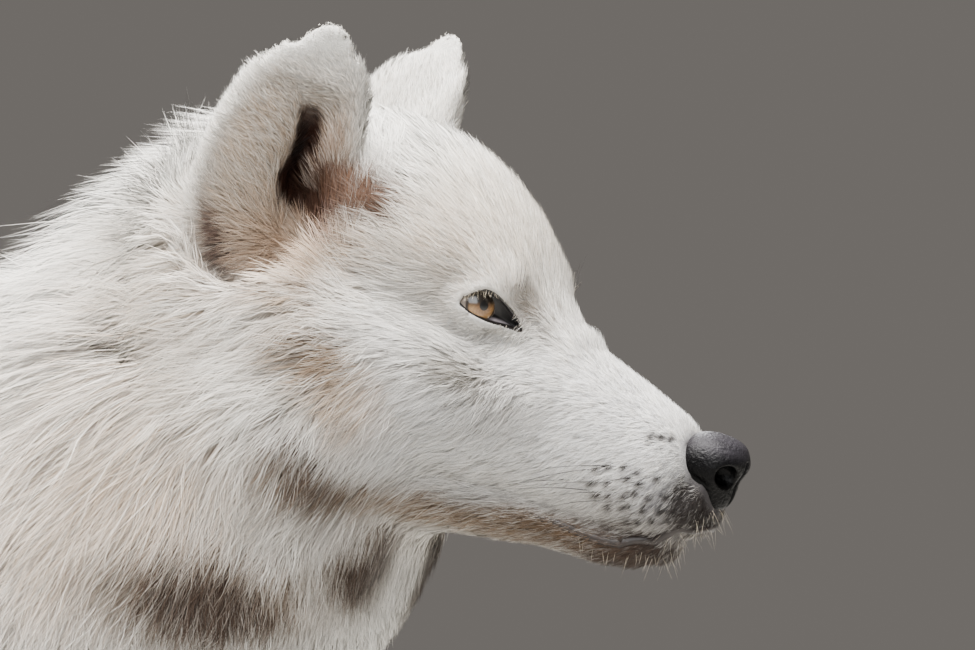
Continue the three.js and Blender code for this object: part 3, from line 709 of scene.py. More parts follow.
# %% Mesh the skin
skin_axes = [
    stations((-860, -655, 11), (-655, -525, 5.6), (-525, -20, 13), (-20, 142, 5.6), (142, 230, 9),
             (230, 384, 3.3), (384, 432, 1.35), (432, 516, 2.2)),
    stations((-1, 1, 2), (1, 22, 2.8), (22, 52, 1.9), (52, 112, 3.2), (112, 180, 7.5)),
    stations((-8, 64, 4.8), (64, 560, 12), (560, 640, 6), (640, 794, 3.1), (794, 828, 1.35),
             (828, 945, 2.6)),
]  # fmt: skip
skin_points, skin_faces = half_mesh(skin_field, skin_axes)
skin = new_piece("skin", skin_points, skin_faces)
flesh = ["trunk", "neck", "tail", "head", "lower_jaw"]
pairs = ("ear", "foreleg", "hindleg", "forefoot", "hindfoot")
flesh += [f"{part}_{side}" for part in pairs for side in ("left", "right")]
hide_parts(*flesh)

# %% [markdown]
# ## Markings
#
# An arctic wolf isn't one white. The crown and forehead are cream, the muzzle is a cooler grey white, and
# tan underfur shows through behind the ears, on the cheeks and down the neck. Each marking is a soft
# ellipsoid of colour with a named tone, placed on the body. Skin and coat read the same function, so
# that a gap in the fur never shows a wrong colour.

# %% Tones and markings
def tone(red, green, blue):
    """A colour in 0-255 screen values as the linear light that a shader wants."""
    c = np.array([red, green, blue]) / 255
    return np.where(c < 0.04045, c / 12.92, ((c + 0.055) / 1.055) ** 2.4)


white, cream, cool = tone(246, 243, 236), tone(240, 230, 216), tone(236, 236, 236)
tan, ginger, brown = tone(206, 182, 158), tone(182, 142, 110), tone(134, 114, 94)
cup_tan_and_shade, cup_warm, fold_brown = tone(198, 178, 158), tone(212, 178, 148), tone(128, 84, 58)
fold_shade_tone, pouch_brown, nose_edge = tone(50, 24, 13), tone(80, 58, 52), tone(84, 80, 82)
bark, umber, grey, sooty = tone(100, 80, 60), tone(66, 50, 39), tone(170, 165, 158), tone(38, 31, 28)

head_marks = [
    # back, up, out,   reach back, up, out,  tone, strength
    ((50, -5, 20), (60, 50, 60), cool, 1.0),
    ((130, -25, 70), (50, 40, 60), cool, 0.8),
    ((145, 62, 20), (40, 30, 50), cream, 1.0),
    ((154, 51, 58), (24, 17, 28), tan, 0.4),
    ((110, 34, 33), (8, 10, 13), brown, 0.6),
    ((101, 24, 26), (12, 9, 14), grey, 0.35),
    ((122, 0, 66), (17, 10, 26), tone(150, 146, 138), 1.0),
    ((101, -8, 48), (12, 14, 20), grey, 0.35),
    ((194, 40, 82), (22, 16, 32), tan, 0.75),
    ((225, 20, 62), (24, 18, 36), ginger, 0.8),
    ((203, 8, 92), (24, 11, 34), tan, 0.6),
    ((174, -14, 108), (24, 14, 34), brown, 1.2),
    ((158, -30, 102), (18, 14, 34), tan, 0.8),
    ((146, -65, 82), (28, 9, 40), bark, 1.1),
    ((166, -67, 98), (19, 12, 34), umber, 1.5),
    # The next two brown rows, low on the jaw, are partly the fur's own tan and partly painted shade beneath the jaw.
    ((120, -68, 50), (28, 9, 40), brown, 1.3),
    ((92, -66, 30), (28, 9, 34), brown, 1.2),
    ((172, -124, 94), (34, 12, 40), tan, 0.6),
    ((275, -30, 128), (65, 65, 60), tan, 0.5),
    ((236, -92, 130), (60, 32, 70), tan, 0.7),
    ((256, -135, 130), (55, 34, 70), tan, 0.5),
    ((190, -131, 107), (42, 20, 50), bark, 1.2),
    ((189, -131, 106), (28, 15, 44), umber, 1.5),
    ((142, -101, 42), (19, 17, 34), bark, 1.3),
    ((142, -100, 40), (12, 12, 26), umber, 1.4),
    ((52, -38, 30), (20, 10, 26), grey, 0.4),
    ((25, -31, 24), (15, 12, 26), tone(138, 138, 144), 0.7),
    ((9, -26, 0), (9, 14, 22), sooty, 1.0),
    ((15, -27, 15), (10, 13, 18), sooty, 1.7),
    ((139, -104, 5), (26, 24, 17), white, 1.0),
    ((12, -37, 10), (13, 8, 22), sooty, 0.95),
    ((31, -62, 12), (25, 15, 34), umber, 1.8),
    ((32, -60, 13), (16, 12, 24), sooty, 1.2),
    ((50, -58, 22), (26, 8, 34), umber, 1.3),
    ((76, -58, 28), (24, 7, 34), bark, 1.2),
]
ear_marks = [
    ((203, 57, 64), (14, 12, 20), tone(62, 42, 32), 1.9),
    ((190, 62, 65), (14, 9, 20), tone(98, 70, 52), 1.6),
    ((247, 20, 62), (10, 16, 14), tone(68, 50, 46), 1.4),
]
body_marks = [
    ((60, 0, 780), (120, 70, 40), tan, 0.35),
    ((-300, 0, 745), (330, 60, 40), tan, 0.3),
    ((-760, 0, 640), (50, 60, 60), tan, 0.35),
    ((-790, 0, 330), (40, 40, 40), grey, 0.6),
    ((100, 140, 620), (110, 60, 90), tan, 0.4),
]


# Rows of whisker pits: from (back, up) to (back, up), and how many.
pit_rows = [
    ((40, -19), (58, -24), 4), ((30, -22), (58, -30), 5), ((20, -26), (56, -36), 7),
    ((16, -30), (50, -40), 7), ((17, -35), (40, -43), 5), ((25, -3), (40, -4), 4),
]  # fmt: skip
pits = np.concatenate([np.linspace(*row) for row in pit_rows])
pits = pits + 0.9 * np.random.default_rng(5).normal(size=pits.shape)


def blend(colour, share, mark):
    """Each colour pulled toward a tone by its share, from 0 to 1."""
    return colour + share[:, None] * (mark - colour)


def paint(colour, place, marks, grit):
    """Each marking pulls the colour to its tone by strength * exp(-(distance in reaches) ** 2), and the
    grit of a strand, from -1 to 1, makes it take the marking more or less than its neighbours."""
    for at, reach, mark, strength in marks:
        share = strength * np.exp(-(((place - at) / reach) ** 2).sum(-1))
        colour = blend(colour, np.clip(share * (1 + grit), 0, 1), mark)
    return colour


def ripple(point, size, seed):
    """Soft noise from -1 to 1: seven sine waves in random directions, about `size` millimetres long."""
    random = np.random.default_rng(seed)
    wave = random.normal(size=(7, 3)) * 2 * np.pi / (size * 1.7)
    phase = random.uniform(0, 2 * np.pi, 7)
    return np.clip(np.sin(point @ wave.T + phase).sum(1) / 3.2, -1, 1)


def markings(point, grit=0.0):
    """The wolf's colour at each point, in body millimetres, with painted shade low on the jaw, in the ears' cups and
    in their folds.
    """
    place = body_to_head(point)
    colour = np.tile(white, (len(point), 1))
    colour = paint(colour, place, head_marks, grit)
    colour = paint(colour, np.stack([point[:, 0], np.abs(point[:, 1]), point[:, 2]], -1), body_marks, grit)
    rise, across, outward = ear_frame(*np.moveaxis(place, -1, 0))
    on_ear = smooth_step(rise, 0.02, 0.2) * (1 - smooth_step(place[:, 0], 285, 300)) * (place[:, 2] > 30)
    floor = -ear_depth(rise) * 0.95
    # Inside the ear's cup the colour is pulled to tan, partly the ear's own and partly painted shade in the cup. The
    # fold is painted near-black as painted shade.
    inner = on_ear * smooth_step(outward, floor + 1.5, floor + 7)
    inner *= (1 - smooth_step(np.abs(across) / ear_half(rise), 0.6, 1.0)) * (1 - smooth_step(rise, 0.6, 0.95))
    colour = blend(colour, np.clip(0.8 * inner * (1 + grit), 0, 1), cup_tan_and_shade)
    low = inner * np.exp(-((rise - 0.2) / 0.16) ** 2 - ((across + 2) / 20) ** 2)
    colour = blend(colour, 0.5 * low, cup_warm)
    gap = slit_gap(rise, across)
    hook = inner * np.exp(-((gap / 13) ** 2)) * smooth_step(-across, 6, 24)
    colour = blend(colour, 0.9 * hook, fold_brown)
    fold_shade_share = inner * (1 - smooth_step(gap, 4.0, 7.5)) * (1 - 0.6 * smooth_step(-across, 20, 36))
    colour = blend(colour, fold_shade_share, fold_shade_tone)
    along = np.clip((rise - 0.02) / 0.26, 0, 1)
    pouch = np.exp(-(((across - 13 - 15 * along) / 4) ** 2) - ((rise - 0.15) / 0.11) ** 2) * (place[:, 2] > 40)
    colour = blend(colour, np.clip(1.4 * pouch, 0, 0.9), pouch_brown)
    colour = paint(colour, place, ear_marks, grit)
    lip = (place[:, 0] < 64) & (place[:, 1] > -50) & (place[:, 1] < 4)
    gap = np.linalg.norm(place[lip, None, :2] - pits, axis=-1).min(1)
    colour[lip] += np.minimum(1.0, 1.3 * np.exp(-((gap / 1.6) ** 2)))[:, None] * (sooty - colour[lip])
    round_nose = 0.75 * np.exp(-((np.maximum(in_chunks(nose_field, point), 0) / 2.6) ** 2))
    return blend(colour, round_nose, nose_edge)

# %% [markdown]
# ## Finishes
#
# Fur, bare skin and leather all vary a little from place to place. That is one node group, used in every
# material with its own size and strength: it takes a colour, makes patches of it lighter and darker, and
# also gives a fine height for bump.

# %% A group for mottled colour and fine relief
def mottle_group():
    """Colour * (1 + Amount * (noise - 0.5) * 2), and a finer noise as Height."""
    group = bpy.data.node_groups.new("Mottle", "ShaderNodeTree")
    for name, kind, value in (
        ("Color", "NodeSocketColor", (0.8, 0.8, 0.8, 1)),
        ("Patch Scale", "NodeSocketFloat", 40.0),
        ("Amount", "NodeSocketFloat", 0.1),
        ("Grain Scale", "NodeSocketFloat", 800.0),
    ):
        group.interface.new_socket(name, in_out="INPUT", socket_type=kind).default_value = value
    group.interface.new_socket("Color", in_out="OUTPUT", socket_type="NodeSocketColor")
    group.interface.new_socket("Height", in_out="OUTPUT", socket_type="NodeSocketFloat")
    nodes, link = group.nodes, group.links.new
    source, sink = nodes.new("NodeGroupInput"), nodes.new("NodeGroupOutput")
    place = nodes.new("ShaderNodeTexCoord")
    patch, grain = nodes.new("ShaderNodeTexNoise"), nodes.new("ShaderNodeTexNoise")
    patch.inputs["Detail"].default_value = 4
    grain.inputs["Detail"].default_value = 3
    link(place.outputs["Object"], patch.inputs["Vector"])
    link(place.outputs["Object"], grain.inputs["Vector"])
    link(source.outputs["Patch Scale"], patch.inputs["Scale"])
    link(source.outputs["Grain Scale"], grain.inputs["Scale"])
    spread = nodes.new("ShaderNodeMapRange")
    for socket, value in (("From Min", 0.25), ("From Max", 0.75), ("To Min", -1.0), ("To Max", 1.0)):
        spread.inputs[socket].default_value = value
    link(patch.outputs["Fac"], spread.inputs["Value"])
    times = nodes.new("ShaderNodeMath")
    times.operation = "MULTIPLY_ADD"
    times.inputs[2].default_value = 1.0
    link(spread.outputs["Result"], times.inputs[0])
    link(source.outputs["Amount"], times.inputs[1])
    scale = nodes.new("ShaderNodeVectorMath")
    scale.operation = "SCALE"
    link(source.outputs["Color"], scale.inputs[0])
    link(times.outputs["Value"], scale.inputs["Scale"])
    link(scale.outputs["Vector"], sink.inputs["Color"])
    link(grain.outputs["Fac"], sink.inputs["Height"])
    return group


mottle = mottle_group()


def finish(name, colour, roughness, patches=(40, 0.1), grain=(800, 0.2, 0.0003), strand=False, **constants):
    """A Principled material: a colour or an attribute's name, mottled, with fine bump. A strand is lit alike
    from both sides, because its normal is turned back where the blade is seen from behind."""
    material = bpy.data.materials.new(name)
    material.use_nodes = True
    nodes, link = material.node_tree.nodes, material.node_tree.links.new
    shader = nodes["Principled BSDF"]
    spots, bump = nodes.new("ShaderNodeGroup"), nodes.new("ShaderNodeBump")
    spots.node_tree = mottle
    if isinstance(colour, str):
        attribute = nodes.new("ShaderNodeAttribute")
        attribute.attribute_name = colour
        link(attribute.outputs["Color"], spots.inputs["Color"])
    else:
        spots.inputs["Color"].default_value = (*colour, 1)
    spots.inputs["Patch Scale"].default_value, spots.inputs["Amount"].default_value = patches
    spots.inputs["Grain Scale"].default_value = grain[0]
    bump.inputs["Strength"].default_value, bump.inputs["Distance"].default_value = grain[1:]
    link(spots.outputs["Height"], bump.inputs["Height"])
    if strand:
        surface, sign, flip = (nodes.new(f"ShaderNode{kind}") for kind in ("NewGeometry", "Math", "VectorMath"))
        sign.operation, flip.operation = "MULTIPLY_ADD", "SCALE"
        sign.inputs[1].default_value, sign.inputs[2].default_value = -2.0, 1.0
        link(surface.outputs["Backfacing"], sign.inputs[0])
        link(surface.outputs["Normal"], flip.inputs[0])
        link(sign.outputs["Value"], flip.inputs["Scale"])
        link(flip.outputs["Vector"], bump.inputs["Normal"])
    link(bump.outputs["Normal"], shader.inputs["Normal"])
    link(spots.outputs["Color"], shader.inputs["Base Color"])
    shader.inputs["Roughness"].default_value = roughness
    for socket, value in constants.items():
        shader.inputs[socket.replace("_", " ")].default_value = value
    return material


fur = finish("fur", "marking", 0.55, patches=(60, 0.06), grain=(900, 0.1, 0.0002), strand=True,
             Specular_IOR_Level=0.3)  # fmt: skip
hide = finish("skin with short fur", "marking", 0.75, patches=(160, 0.12), grain=(1500, 0.6, 0.0008))
lip_leather = finish("lip", tone(38, 30, 27), 0.42, patches=(200, 0.25), grain=(1400, 0.4, 0.0004))
lid_leather = finish("lid", tone(22, 18, 17), 0.28, patches=(300, 0.25), grain=(1800, 0.25, 0.0002),
                     Coat_Weight=0.5, Coat_Roughness=0.2)  # fmt: skip
horn = finish("claw horn", tone(92, 80, 68), 0.35, patches=(150, 0.3), grain=(500, 0.3, 0.0004))
whisker_black = finish("whisker", tone(30, 26, 24), 0.4, patches=(100, 0.1))
bristle_pale = finish("pale bristle", tone(226, 214, 192), 0.45, patches=(100, 0.1))
tear_skin = finish("tear corner", "tear", 0.4, patches=(300, 0.25), grain=(1800, 0.25, 0.0002))
skin.data.materials.append(hide)
print("materials:", sorted(m.name for m in bpy.data.materials))

# %% [markdown]
# ## Eyes
#
# The eyeball is a ball whose front swells where the clear cornea is. It is drawn by two angles: away
# from the line of sight, and round it. Amber fibres run out from the pupil to a dark ring, and beyond
# that the white of the eye is greyish. The iris is darkened at the top as painted shade of the upper lid
# and painted lighter at the bottom. A clear coat makes all of it wet.

# %% Eyeballs
eye_radius, cornea_swell, cornea_spread, eye_turns = 12.5, 0.9, 0.5, 96


def revolved(turns, rows):
    """Faces of a surface given as rows of rings, each ring with `turns` points, wound outwards."""
    i = np.arange(rows - 1)[:, None] * turns
    j = np.arange(turns)[None]
    k = (j + 1) % turns
    return np.stack([i + j, i + k, i + turns + k, i + turns + j], -1).reshape(-1, 4)


def eyeball(hand):
    """r = radius + swell * exp(-(away / spread) ** 2), for the angle `away` from the line of sight."""
    sight = head_direction([-np.cos(np.radians(40)), 0.16, np.sin(np.radians(40))])
    sight = sight / np.linalg.norm(sight)
    up = flat_on(np.array([[0, 0, 1.0]]), sight[None])[0]
    aside = np.cross(sight, up)
    away = np.concatenate([[0.003], np.linspace(0.02, 0.8, 70), np.linspace(0.85, 3.13, 30)])[:, None]
    turn = full_turn(eye_turns)[None]
    r = eye_radius + cornea_swell * np.exp(-((away / cornea_spread) ** 2))
    ball = np.cos(away)[..., None] * sight + (np.sin(away) * np.cos(turn))[..., None] * up
    ball = ball + (np.sin(away) * np.sin(turn))[..., None] * aside
    points = (head_to_body(eye_place) + r[..., None] * ball).reshape(-1, 3) * [1, hand, 1]
    faces = revolved(eye_turns, len(away))
    if hand > 0:
        faces = faces[:, ::-1]
    spread = np.broadcast_to(away, (len(away), eye_turns)).ravel()
    round_it = np.broadcast_to(turn, (len(away), eye_turns)).ravel()
    fibre = np.sin(round_it * 37 + 3 * np.sin(spread * 21)) * 0.5
    fibre = fibre + np.sin(round_it * 83 + 5 * np.sin(spread * 9)) * 0.5
    amber = tone(152, 116, 74) * (1 + 0.25 * fibre[:, None])
    # The top of the iris is darkened as painted shade of the upper lid, and its lower part is painted lighter.
    drop = -np.sin(spread) * np.cos(round_it)
    painted_lid_shade_and_light = 0.04 + 0.96 * smooth_step(drop, -0.16, 0.16) + 0.35 * smooth_step(drop, 0.15, 0.45)
    near_pupil = 1 - smooth_step(spread, 0.2, 0.42)
    colour = blend(amber, 0.6 * near_pupil, tone(96, 58, 28)) * painted_lid_shade_and_light[:, None]
    colour = blend(colour, smooth_step(spread, 0.5, 0.6), tone(40, 28, 18))
    colour = blend(colour, smooth_step(spread, 0.62, 0.7), tone(150, 138, 128))
    colour = colour * smooth_step(spread, 0.15, 0.19)[:, None] + 0.002
    return points, faces, colour


sides = [eyeball(hand) for hand in (1, -1)]
for name, node, (points, faces, colour) in zip(("eyeball_left", "eyeball_right"), ("eye_left", "eye_right"), sides):
    ball = new_piece(name, points, faces)
    give_colour(ball, "marking", colour)
    ball.data.materials.append(finish(f"{name} iris", "marking", 0.35, patches=(900, 0.15), grain=(2500, 0.1, 0.0001),
                                      Coat_Weight=1.0, Coat_Roughness=0.02, Coat_IOR=1.45))  # fmt: skip
    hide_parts(node)

# %% [markdown]
# ## Lids and tear corners
#
# The lid's edge is a bare black rim, wet on the inside. It is a round tube carried along the loop of the
# lids. Behind it a dark sheet closes the tear corner, and the eyeball stands in front of that sheet. The
# sheet's dark is partly the corner's black skin and partly painted shade, and a pale streak on it is a
# painted reflection of wet skin.

# %% Tubes along a path
def tube(path, across, out, sides=10, closed=False):
    """Rings of an ellipse, `across` wide and `out` deep, at right angles to the path. The ellipse's out
    axis is the skin's normal there. A closed tube's last ring is joined to its first."""
    step = (np.roll(path, -1, 0) - np.roll(path, 1, 0)) if closed else np.gradient(path, axis=0)
    step /= np.linalg.norm(step, axis=1, keepdims=True)
    normal = flat_on(straight_out(skin_field, path), step)
    aside = np.cross(step, normal)
    turn = full_turn(sides)[None, :, None]
    across, out = (np.broadcast_to(v, len(path))[:, None, None] for v in (across, out))
    rings = path[:, None] + across * np.cos(turn) * aside[:, None] + out * np.sin(turn) * normal[:, None]
    faces = revolved(sides, len(path))
    if closed:
        last = (len(path) - 1) * sides + np.arange(sides)
        first = np.arange(sides)
        faces = np.vstack([faces, np.stack([last, np.roll(last, -1), np.roll(first, -1), first], -1)])
    return rings.reshape(-1, 3), faces


def mirrored(points, faces):
    """The same surface on both sides of the body."""
    return np.vstack([points, points * [1, -1, 1]]), np.vstack([faces, faces[:, ::-1] + len(points)])


rim_path = head_to_body(lid_loop)
rim_width = 1.5 + 1.1 * smooth_step(-np.linalg.norm(lid_loop - inner_end, axis=1), -15, -3)
rim = new_piece("lid_rims", *mirrored(*tube(rim_path, rim_width, 1.1, closed=True)))
sheet_rings = 16
share = np.linspace(0.02, 1, sheet_rings)[:, None, None]
sheet = lid_centre + share * (lid_loop - lid_centre)[None] - 2.6 * (1 - share**3) * lid_w
sheet_faces = revolved(lid_steps, sheet_rings)
corner = new_piece("tear_corners", *mirrored(head_to_body(sheet).reshape(-1, 3), sheet_faces))
run = np.arange(lid_steps)[None] / lid_steps
# A pale streak near the inner corner, along the lower lid, is a painted reflection of wet skin. The rest of the sheet
# is dark, partly black skin and partly painted shade.
painted_wet_glint = smooth_step(run, 0.53, 0.57) * (1 - smooth_step(run, 0.66, 0.74)) * smooth_step(share[..., 0], 0.5, 0.8)
dark_skin_and_shade, wet_glint_tone = tone(14, 11, 11), tone(150, 142, 146)
tear_colour = (dark_skin_and_shade + painted_wet_glint[..., None] * (wet_glint_tone - dark_skin_and_shade)).reshape(-1, 3)
give_colour(corner, "tear", np.tile(tear_colour, (2, 1)))
for piece, leather in ((rim, lid_leather), (corner, tear_skin)):
    piece.data.materials.append(leather)

# %% [markdown]
# ## Nose
#
# The nose is thick pebbled leather. It is a field of its own: a rounded pad with a wing on each side,
# from which the nostrils, their slits and the groove in the middle are carved.

# %% Nose
nose_pad = muscle((15.5, -6, 0), (15, 13, 15.5))
nose_wing = muscle((16, -10, 10), (12.5, 10, 8.5))
nose_foot = muscle((12.5, -21, 0), (9.5, 8.5, 10.5))
nostril = muscle((4.5, -11.5, 11), (6.6, 5, 6.5), 0.35)
nostril_slit = muscle((14, -16.5, 19.5), (7, 1.3, 4), 0.3)
nose_top = 5.6


def nose_field(x, y, z):
    """Pad, wings and foot melted together and cut flat on top, less the nostrils, the slits behind them
    and the groove in the middle."""
    back, up, out = np.moveaxis(body_to_head(np.stack([x, y, z], -1)), -1, 0)
    d = soft_union(nose_pad(back, up, out), nose_wing(back, up, out), 5)
    d = soft_union(d, nose_foot(back, up, out), 6)
    d = soft_cut(d, nose_top - up, 5)
    d = soft_cut(d, nostril(back, up, out), 1.8)
    d = soft_cut(d, nostril_slit(back, up, out), 1.2)
    groove = np.hypot(out, np.maximum(back - 3.5, 0)) - 0.9
    return soft_cut(d, np.maximum(groove, up + 4), 1.5)


nose_axes = [stations((478, 524, 0.75)), stations((-0.4, 0.4, 0.8), (0.4, 22, 0.75)), stations((712, 762, 0.75))]
nose_points, nose_faces = half_mesh(nose_field, nose_axes)
nose = new_piece("nose", nose_points, nose_faces)
nose_place = body_to_head(nose_points)
# The nose's colour carries painted light: the nostrils and the lower side are darkened as painted shade, and the top
# is painted lighter, partly for dry grey leather and partly as a painted highlight from the light above.
in_nostril = np.exp(-(((nose_place - [6, -11.5, 10]) / [6.5, 6, 7]) ** 2).sum(-1))
height = smooth_step(nose_place[:, 1], -16, 0)
nose_painted_light_and_shade = (1 - 0.95 * in_nostril) * (0.15 + 0.5 * height + 3.5 * height**8)
give_colour(nose, "leather", tone(16, 15, 17) * nose_painted_light_and_shade[:, None])
nose_leather = finish("nose leather", "leather", 0.38, patches=(220, 0.3), grain=(620, 0.9, 0.0009),
                      Specular_IOR_Level=0.1, Coat_Weight=0.03, Coat_Roughness=0.35)  # fmt: skip
nose.data.materials.append(nose_leather)
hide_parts("nose_pad")

# %% [markdown]
# ## Lips
#
# A thin dark lip shows along the mouth. It is a flattened tube whose path is laid on the skin, so that it
# rises and falls with the flews.

# %% Lips
lip_places = [
    (6, -37, 0), (7, -40, 8), (12, -45, 15), (29, -52.4, 22.6), (41, -55, 26.6),
    (53, -56, 29), (68, -54.3, 32), (80, -52.5, 35), (92, -50, 38),
]  # fmt: skip
lip_steps = 70
lip_path = open_curve(lip_places, lip_steps)
lip_on_skin = settle(skin_field, head_to_body(lip_path), rounds=3)
taper = np.minimum(1, (1 - np.linspace(0, 1, lip_steps)) * 4 + 0.05)
lips = new_piece("lips", *mirrored(*tube(lip_on_skin, 2.2 * taper, 1.7 * taper)))
lips.data.materials.append(lip_leather)

# %% [markdown]
# ## The lie of the coat
#
# Hair grows in streams: back from the nose, down the cheeks, down and back on the neck, down the legs. A
# short table says which way it lies at named places, and every other place takes a mean of the nearest,
# laid flat on the skin there.

# %% Which way the hair lies
head_lies = [
    ((20, 0, 12), (1, -0.1, 0.2)), ((60, 15, 10), (1, 0.02, 0.15)), ((92, 28, 8), (1, 0.1, 0.1)),
    ((27, -10, 24), (0.8, -0.6, 0.15)), ((62, -3, 32), (1, -0.6, 0.15)), ((84, 5, 34), (1, -0.5, 0.2)),
    ((26, -32, 24), (0.45, -0.9, 0.1)), ((55, -35, 31), (0.6, -0.8, 0.1)), ((88, -40, 40), (0.8, -0.6, 0.15)),
    ((45, -60, 15), (0.9, -0.5, 0.1)), ((90, -66, 28), (1, -0.3, 0.1)), ((112, 19, 30), (0.3, -1, 0.2)),
    ((102, -7, 54), (0.35, -0.95, 0.3)), ((120, 1, 67), (0.6, -0.75, 0.3)), ((137, 16, 62), (0.9, -0.45, 0.3)),
    ((107, -27, 51), (0.75, -0.65, 0.3)), ((147, -12, 88), (0.6, -0.8, 0.2)), ((160, -42, 98), (0.25, -1, 0)),
    ((177, -15, 110), (0.85, -0.6, 0)), ((147, -63, 82), (0.92, -0.4, 0)), ((115, -63, 39), (0.95, -0.3, 0)),
    ((165, -64, 99), (0.6, -0.8, 0)), ((187, -52, 115), (0.3, -0.95, 0)), ((150, -85, 0), (0.9, -0.5, 0)),
    ((105, 42, 8), (0.6, 0.8, 0)), ((118, 58, 12), (0.7, 0.7, 0.05)), ((117, 44, 40), (0.6, 0.75, 0.1)),
    ((129, 38, 48), (0.9, 0.2, 0.3)), ((154, 51, 60), (1, -0.02, 0.2)), ((150, 84, 15), (0.9, 0.45, 0.1)),
    ((185, 100, 0), (1, 0.05, 0)), ((180, 88, 40), (1, 0.1, 0.1)), ((180, 55, 66), (1, -0.1, 0.2)),
    ((192, 30, 80), (0.97, -0.3, 0.1)), ((230, -10, 100), (0.85, -0.6, 0)), ((235, 100, 0), (1, -0.05, 0)),
    ((265, 60, 75), (1, -0.35, 0.1)), ((150, -100, 30), (0.4, -0.95, 0)), ((190, -110, 60), (0.35, -0.95, 0)),
]  # fmt: skip
body_lies = [
    ((226, 94, 832), (-0.95, 0, -0.3)), ((264, 128, 761), (-0.6, 0, -0.75)), ((305, 122, 761), (-0.5, 0, -0.85)),
    ((261, 131, 726), (-0.3, 0, -0.95)), ((244, 135, 700), (-0.15, 0, -1)), ((298, 106, 677), (-0.1, 0, -1)),
    ((336, 80, 699), (-0.05, 0, -1)), ((354, 41, 694), (0.1, 0, -1)), ((351, 20, 687), (0.05, 0, -1)),
    ((180, 140, 690), (-0.45, 0, -0.9)), ((100, 150, 700), (-0.7, 0, -0.7)), ((0, 150, 650), (-0.85, 0, -0.5)),
    ((230, 0, 880), (-0.9, 0, 0.2)), ((150, 0, 850), (-0.9, 0, 0.1)), ((60, 0, 790), (-1, 0, 0.05)),
    ((0, 0, 768), (-1, 0, 0)), ((330, 0, 640), (-0.1, 0, -1)), ((300, 60, 650), (-0.1, 0, -1)),
    ((240, 110, 660), (-0.15, 0, -1)), ((190, 0, 520), (-0.2, 0, -1)), ((150, 90, 480), (-0.3, 0, -1)),
    ((60, 158, 560), (-0.6, 0, -0.8)), ((-200, 150, 600), (-1, 0, -0.3)), ((-450, 134, 600), (-1, 0, -0.35)),
    ((-200, 0, 400), (-1, 0, -0.2)), ((-200, 90, 420), (-0.9, 0, -0.5)), ((-300, 0, 735), (-1, 0, -0.05)),
    ((-650, 60, 650), (-0.7, 0, -0.7)), ((-570, 130, 520), (-0.5, 0, -0.85)), ((-690, 60, 560), (-0.1, 0, -1)),
    ((30, 110, 250), (-0.1, 0, -1)), ((30, 86, 100), (-0.05, 0, -1)), ((-640, 110, 200), (-0.15, 0, -1)),
    ((-560, 120, 330), (-0.35, 0, -1)), ((80, 86, 40), (0.8, 0, -0.4)), ((-590, 94, 40), (0.8, 0, -0.4)),
    ((-700, 0, 690), (-0.7, 0, -0.6)), ((-780, 0, 600), (-0.2, 0, -1)), ((-790, 0, 450), (0, 0, -1)),
    ((-790, 0, 340), (0, 0, -1)),
]  # fmt: skip
lie_place = np.array([head_to_body(p) for p, _ in head_lies] + [p for p, _ in body_lies])
lie_way = np.array([head_direction(d) for _, d in head_lies] + [d for _, d in body_lies], float)
lie_way /= np.linalg.norm(lie_way, axis=1, keepdims=True)


def lie_of_coat(point, normal):
    """The mean of the table's directions, each weighed by the inverse fourth power of its distance. The
    distance is made softer behind the head, so that the neck's long hair has no partings."""
    folded = point * [1, 0, 1] + np.abs(point) * [0, 1, 0]
    square = (folded**2).sum(1)[:, None] - 2 * folded @ lie_place.T + (lie_place**2).sum(1)
    place = body_to_head(point)
    soft = 60 + 2200 * smooth_step(place[:, 0], 185, 270)
    way = (1 / (square + soft[:, None]) ** 2) @ lie_way
    rise, across, outward = ear_frame(*np.moveaxis(place, -1, 0))
    on_ear = smooth_step(rise, 0.12, 0.3) * (place[:, 2] > 34) * (place[:, 0] > 185) * (place[:, 0] < 285)
    way = way / np.linalg.norm(way, axis=1, keepdims=True)
    bowl = smooth_step(outward, -ear_depth(rise), -ear_depth(rise) + 8)[:, None]
    bowl = bowl * smooth_step(across, -26, -8)[:, None]
    up_ear, over_bowl = head_direction([0.15, 1.0, 0.14]), head_direction([0.8, 0.5, 0.3])
    way += on_ear[:, None] * (up_ear + bowl * (over_bowl - up_ear) - way)
    way[:, 1] *= np.where(point[:, 1] < 0, -1, 1)
    return flat_on(way, normal)

# %% [markdown]
# ## Locks of hair
#
# Real hair clumps: a dozen strands start apart and lean together at their tips. Each strand here is a thin
# blade of three or five triangles that tapers to a point. Blades, unlike Blender's hair curves, stay in
# the model when it is exported, and nearly four hundred thousand of them are only a few arrays.

# %% Roots of the locks
def scatter(faces, count, random):
    """Even random places on faces: a face is picked by its area, and a point in it by two weights."""
    a, b, c = (skin_points[faces[:, k]] for k in range(3))
    area = np.linalg.norm(np.cross(b - a, c - a), axis=1)
    pick = np.searchsorted(np.cumsum(area) / area.sum(), (np.arange(count) + random.random(count)) / count)
    pick = np.minimum(pick, len(faces) - 1)
    u, v = random.random((2, count, 1))
    flip = (u + v) > 1
    u, v = np.where(flip, 1 - u, u), np.where(flip, 1 - v, v)
    corners = faces[pick]
    weights = (1 - u - v, u, v)

    def mix(values):
        """A measure of the skin's points, mixed from the three corners for every root."""
        table = values.reshape(len(values), -1)
        return np.squeeze(sum(w * table[corners[:, k]] for k, w in enumerate(weights)))

    return mix, area.sum()


def turned(direction, normal, angle):
    """A flat direction turned about the normal."""
    return direction * np.cos(angle)[:, None] + np.cross(normal, direction) * np.sin(angle)[:, None]

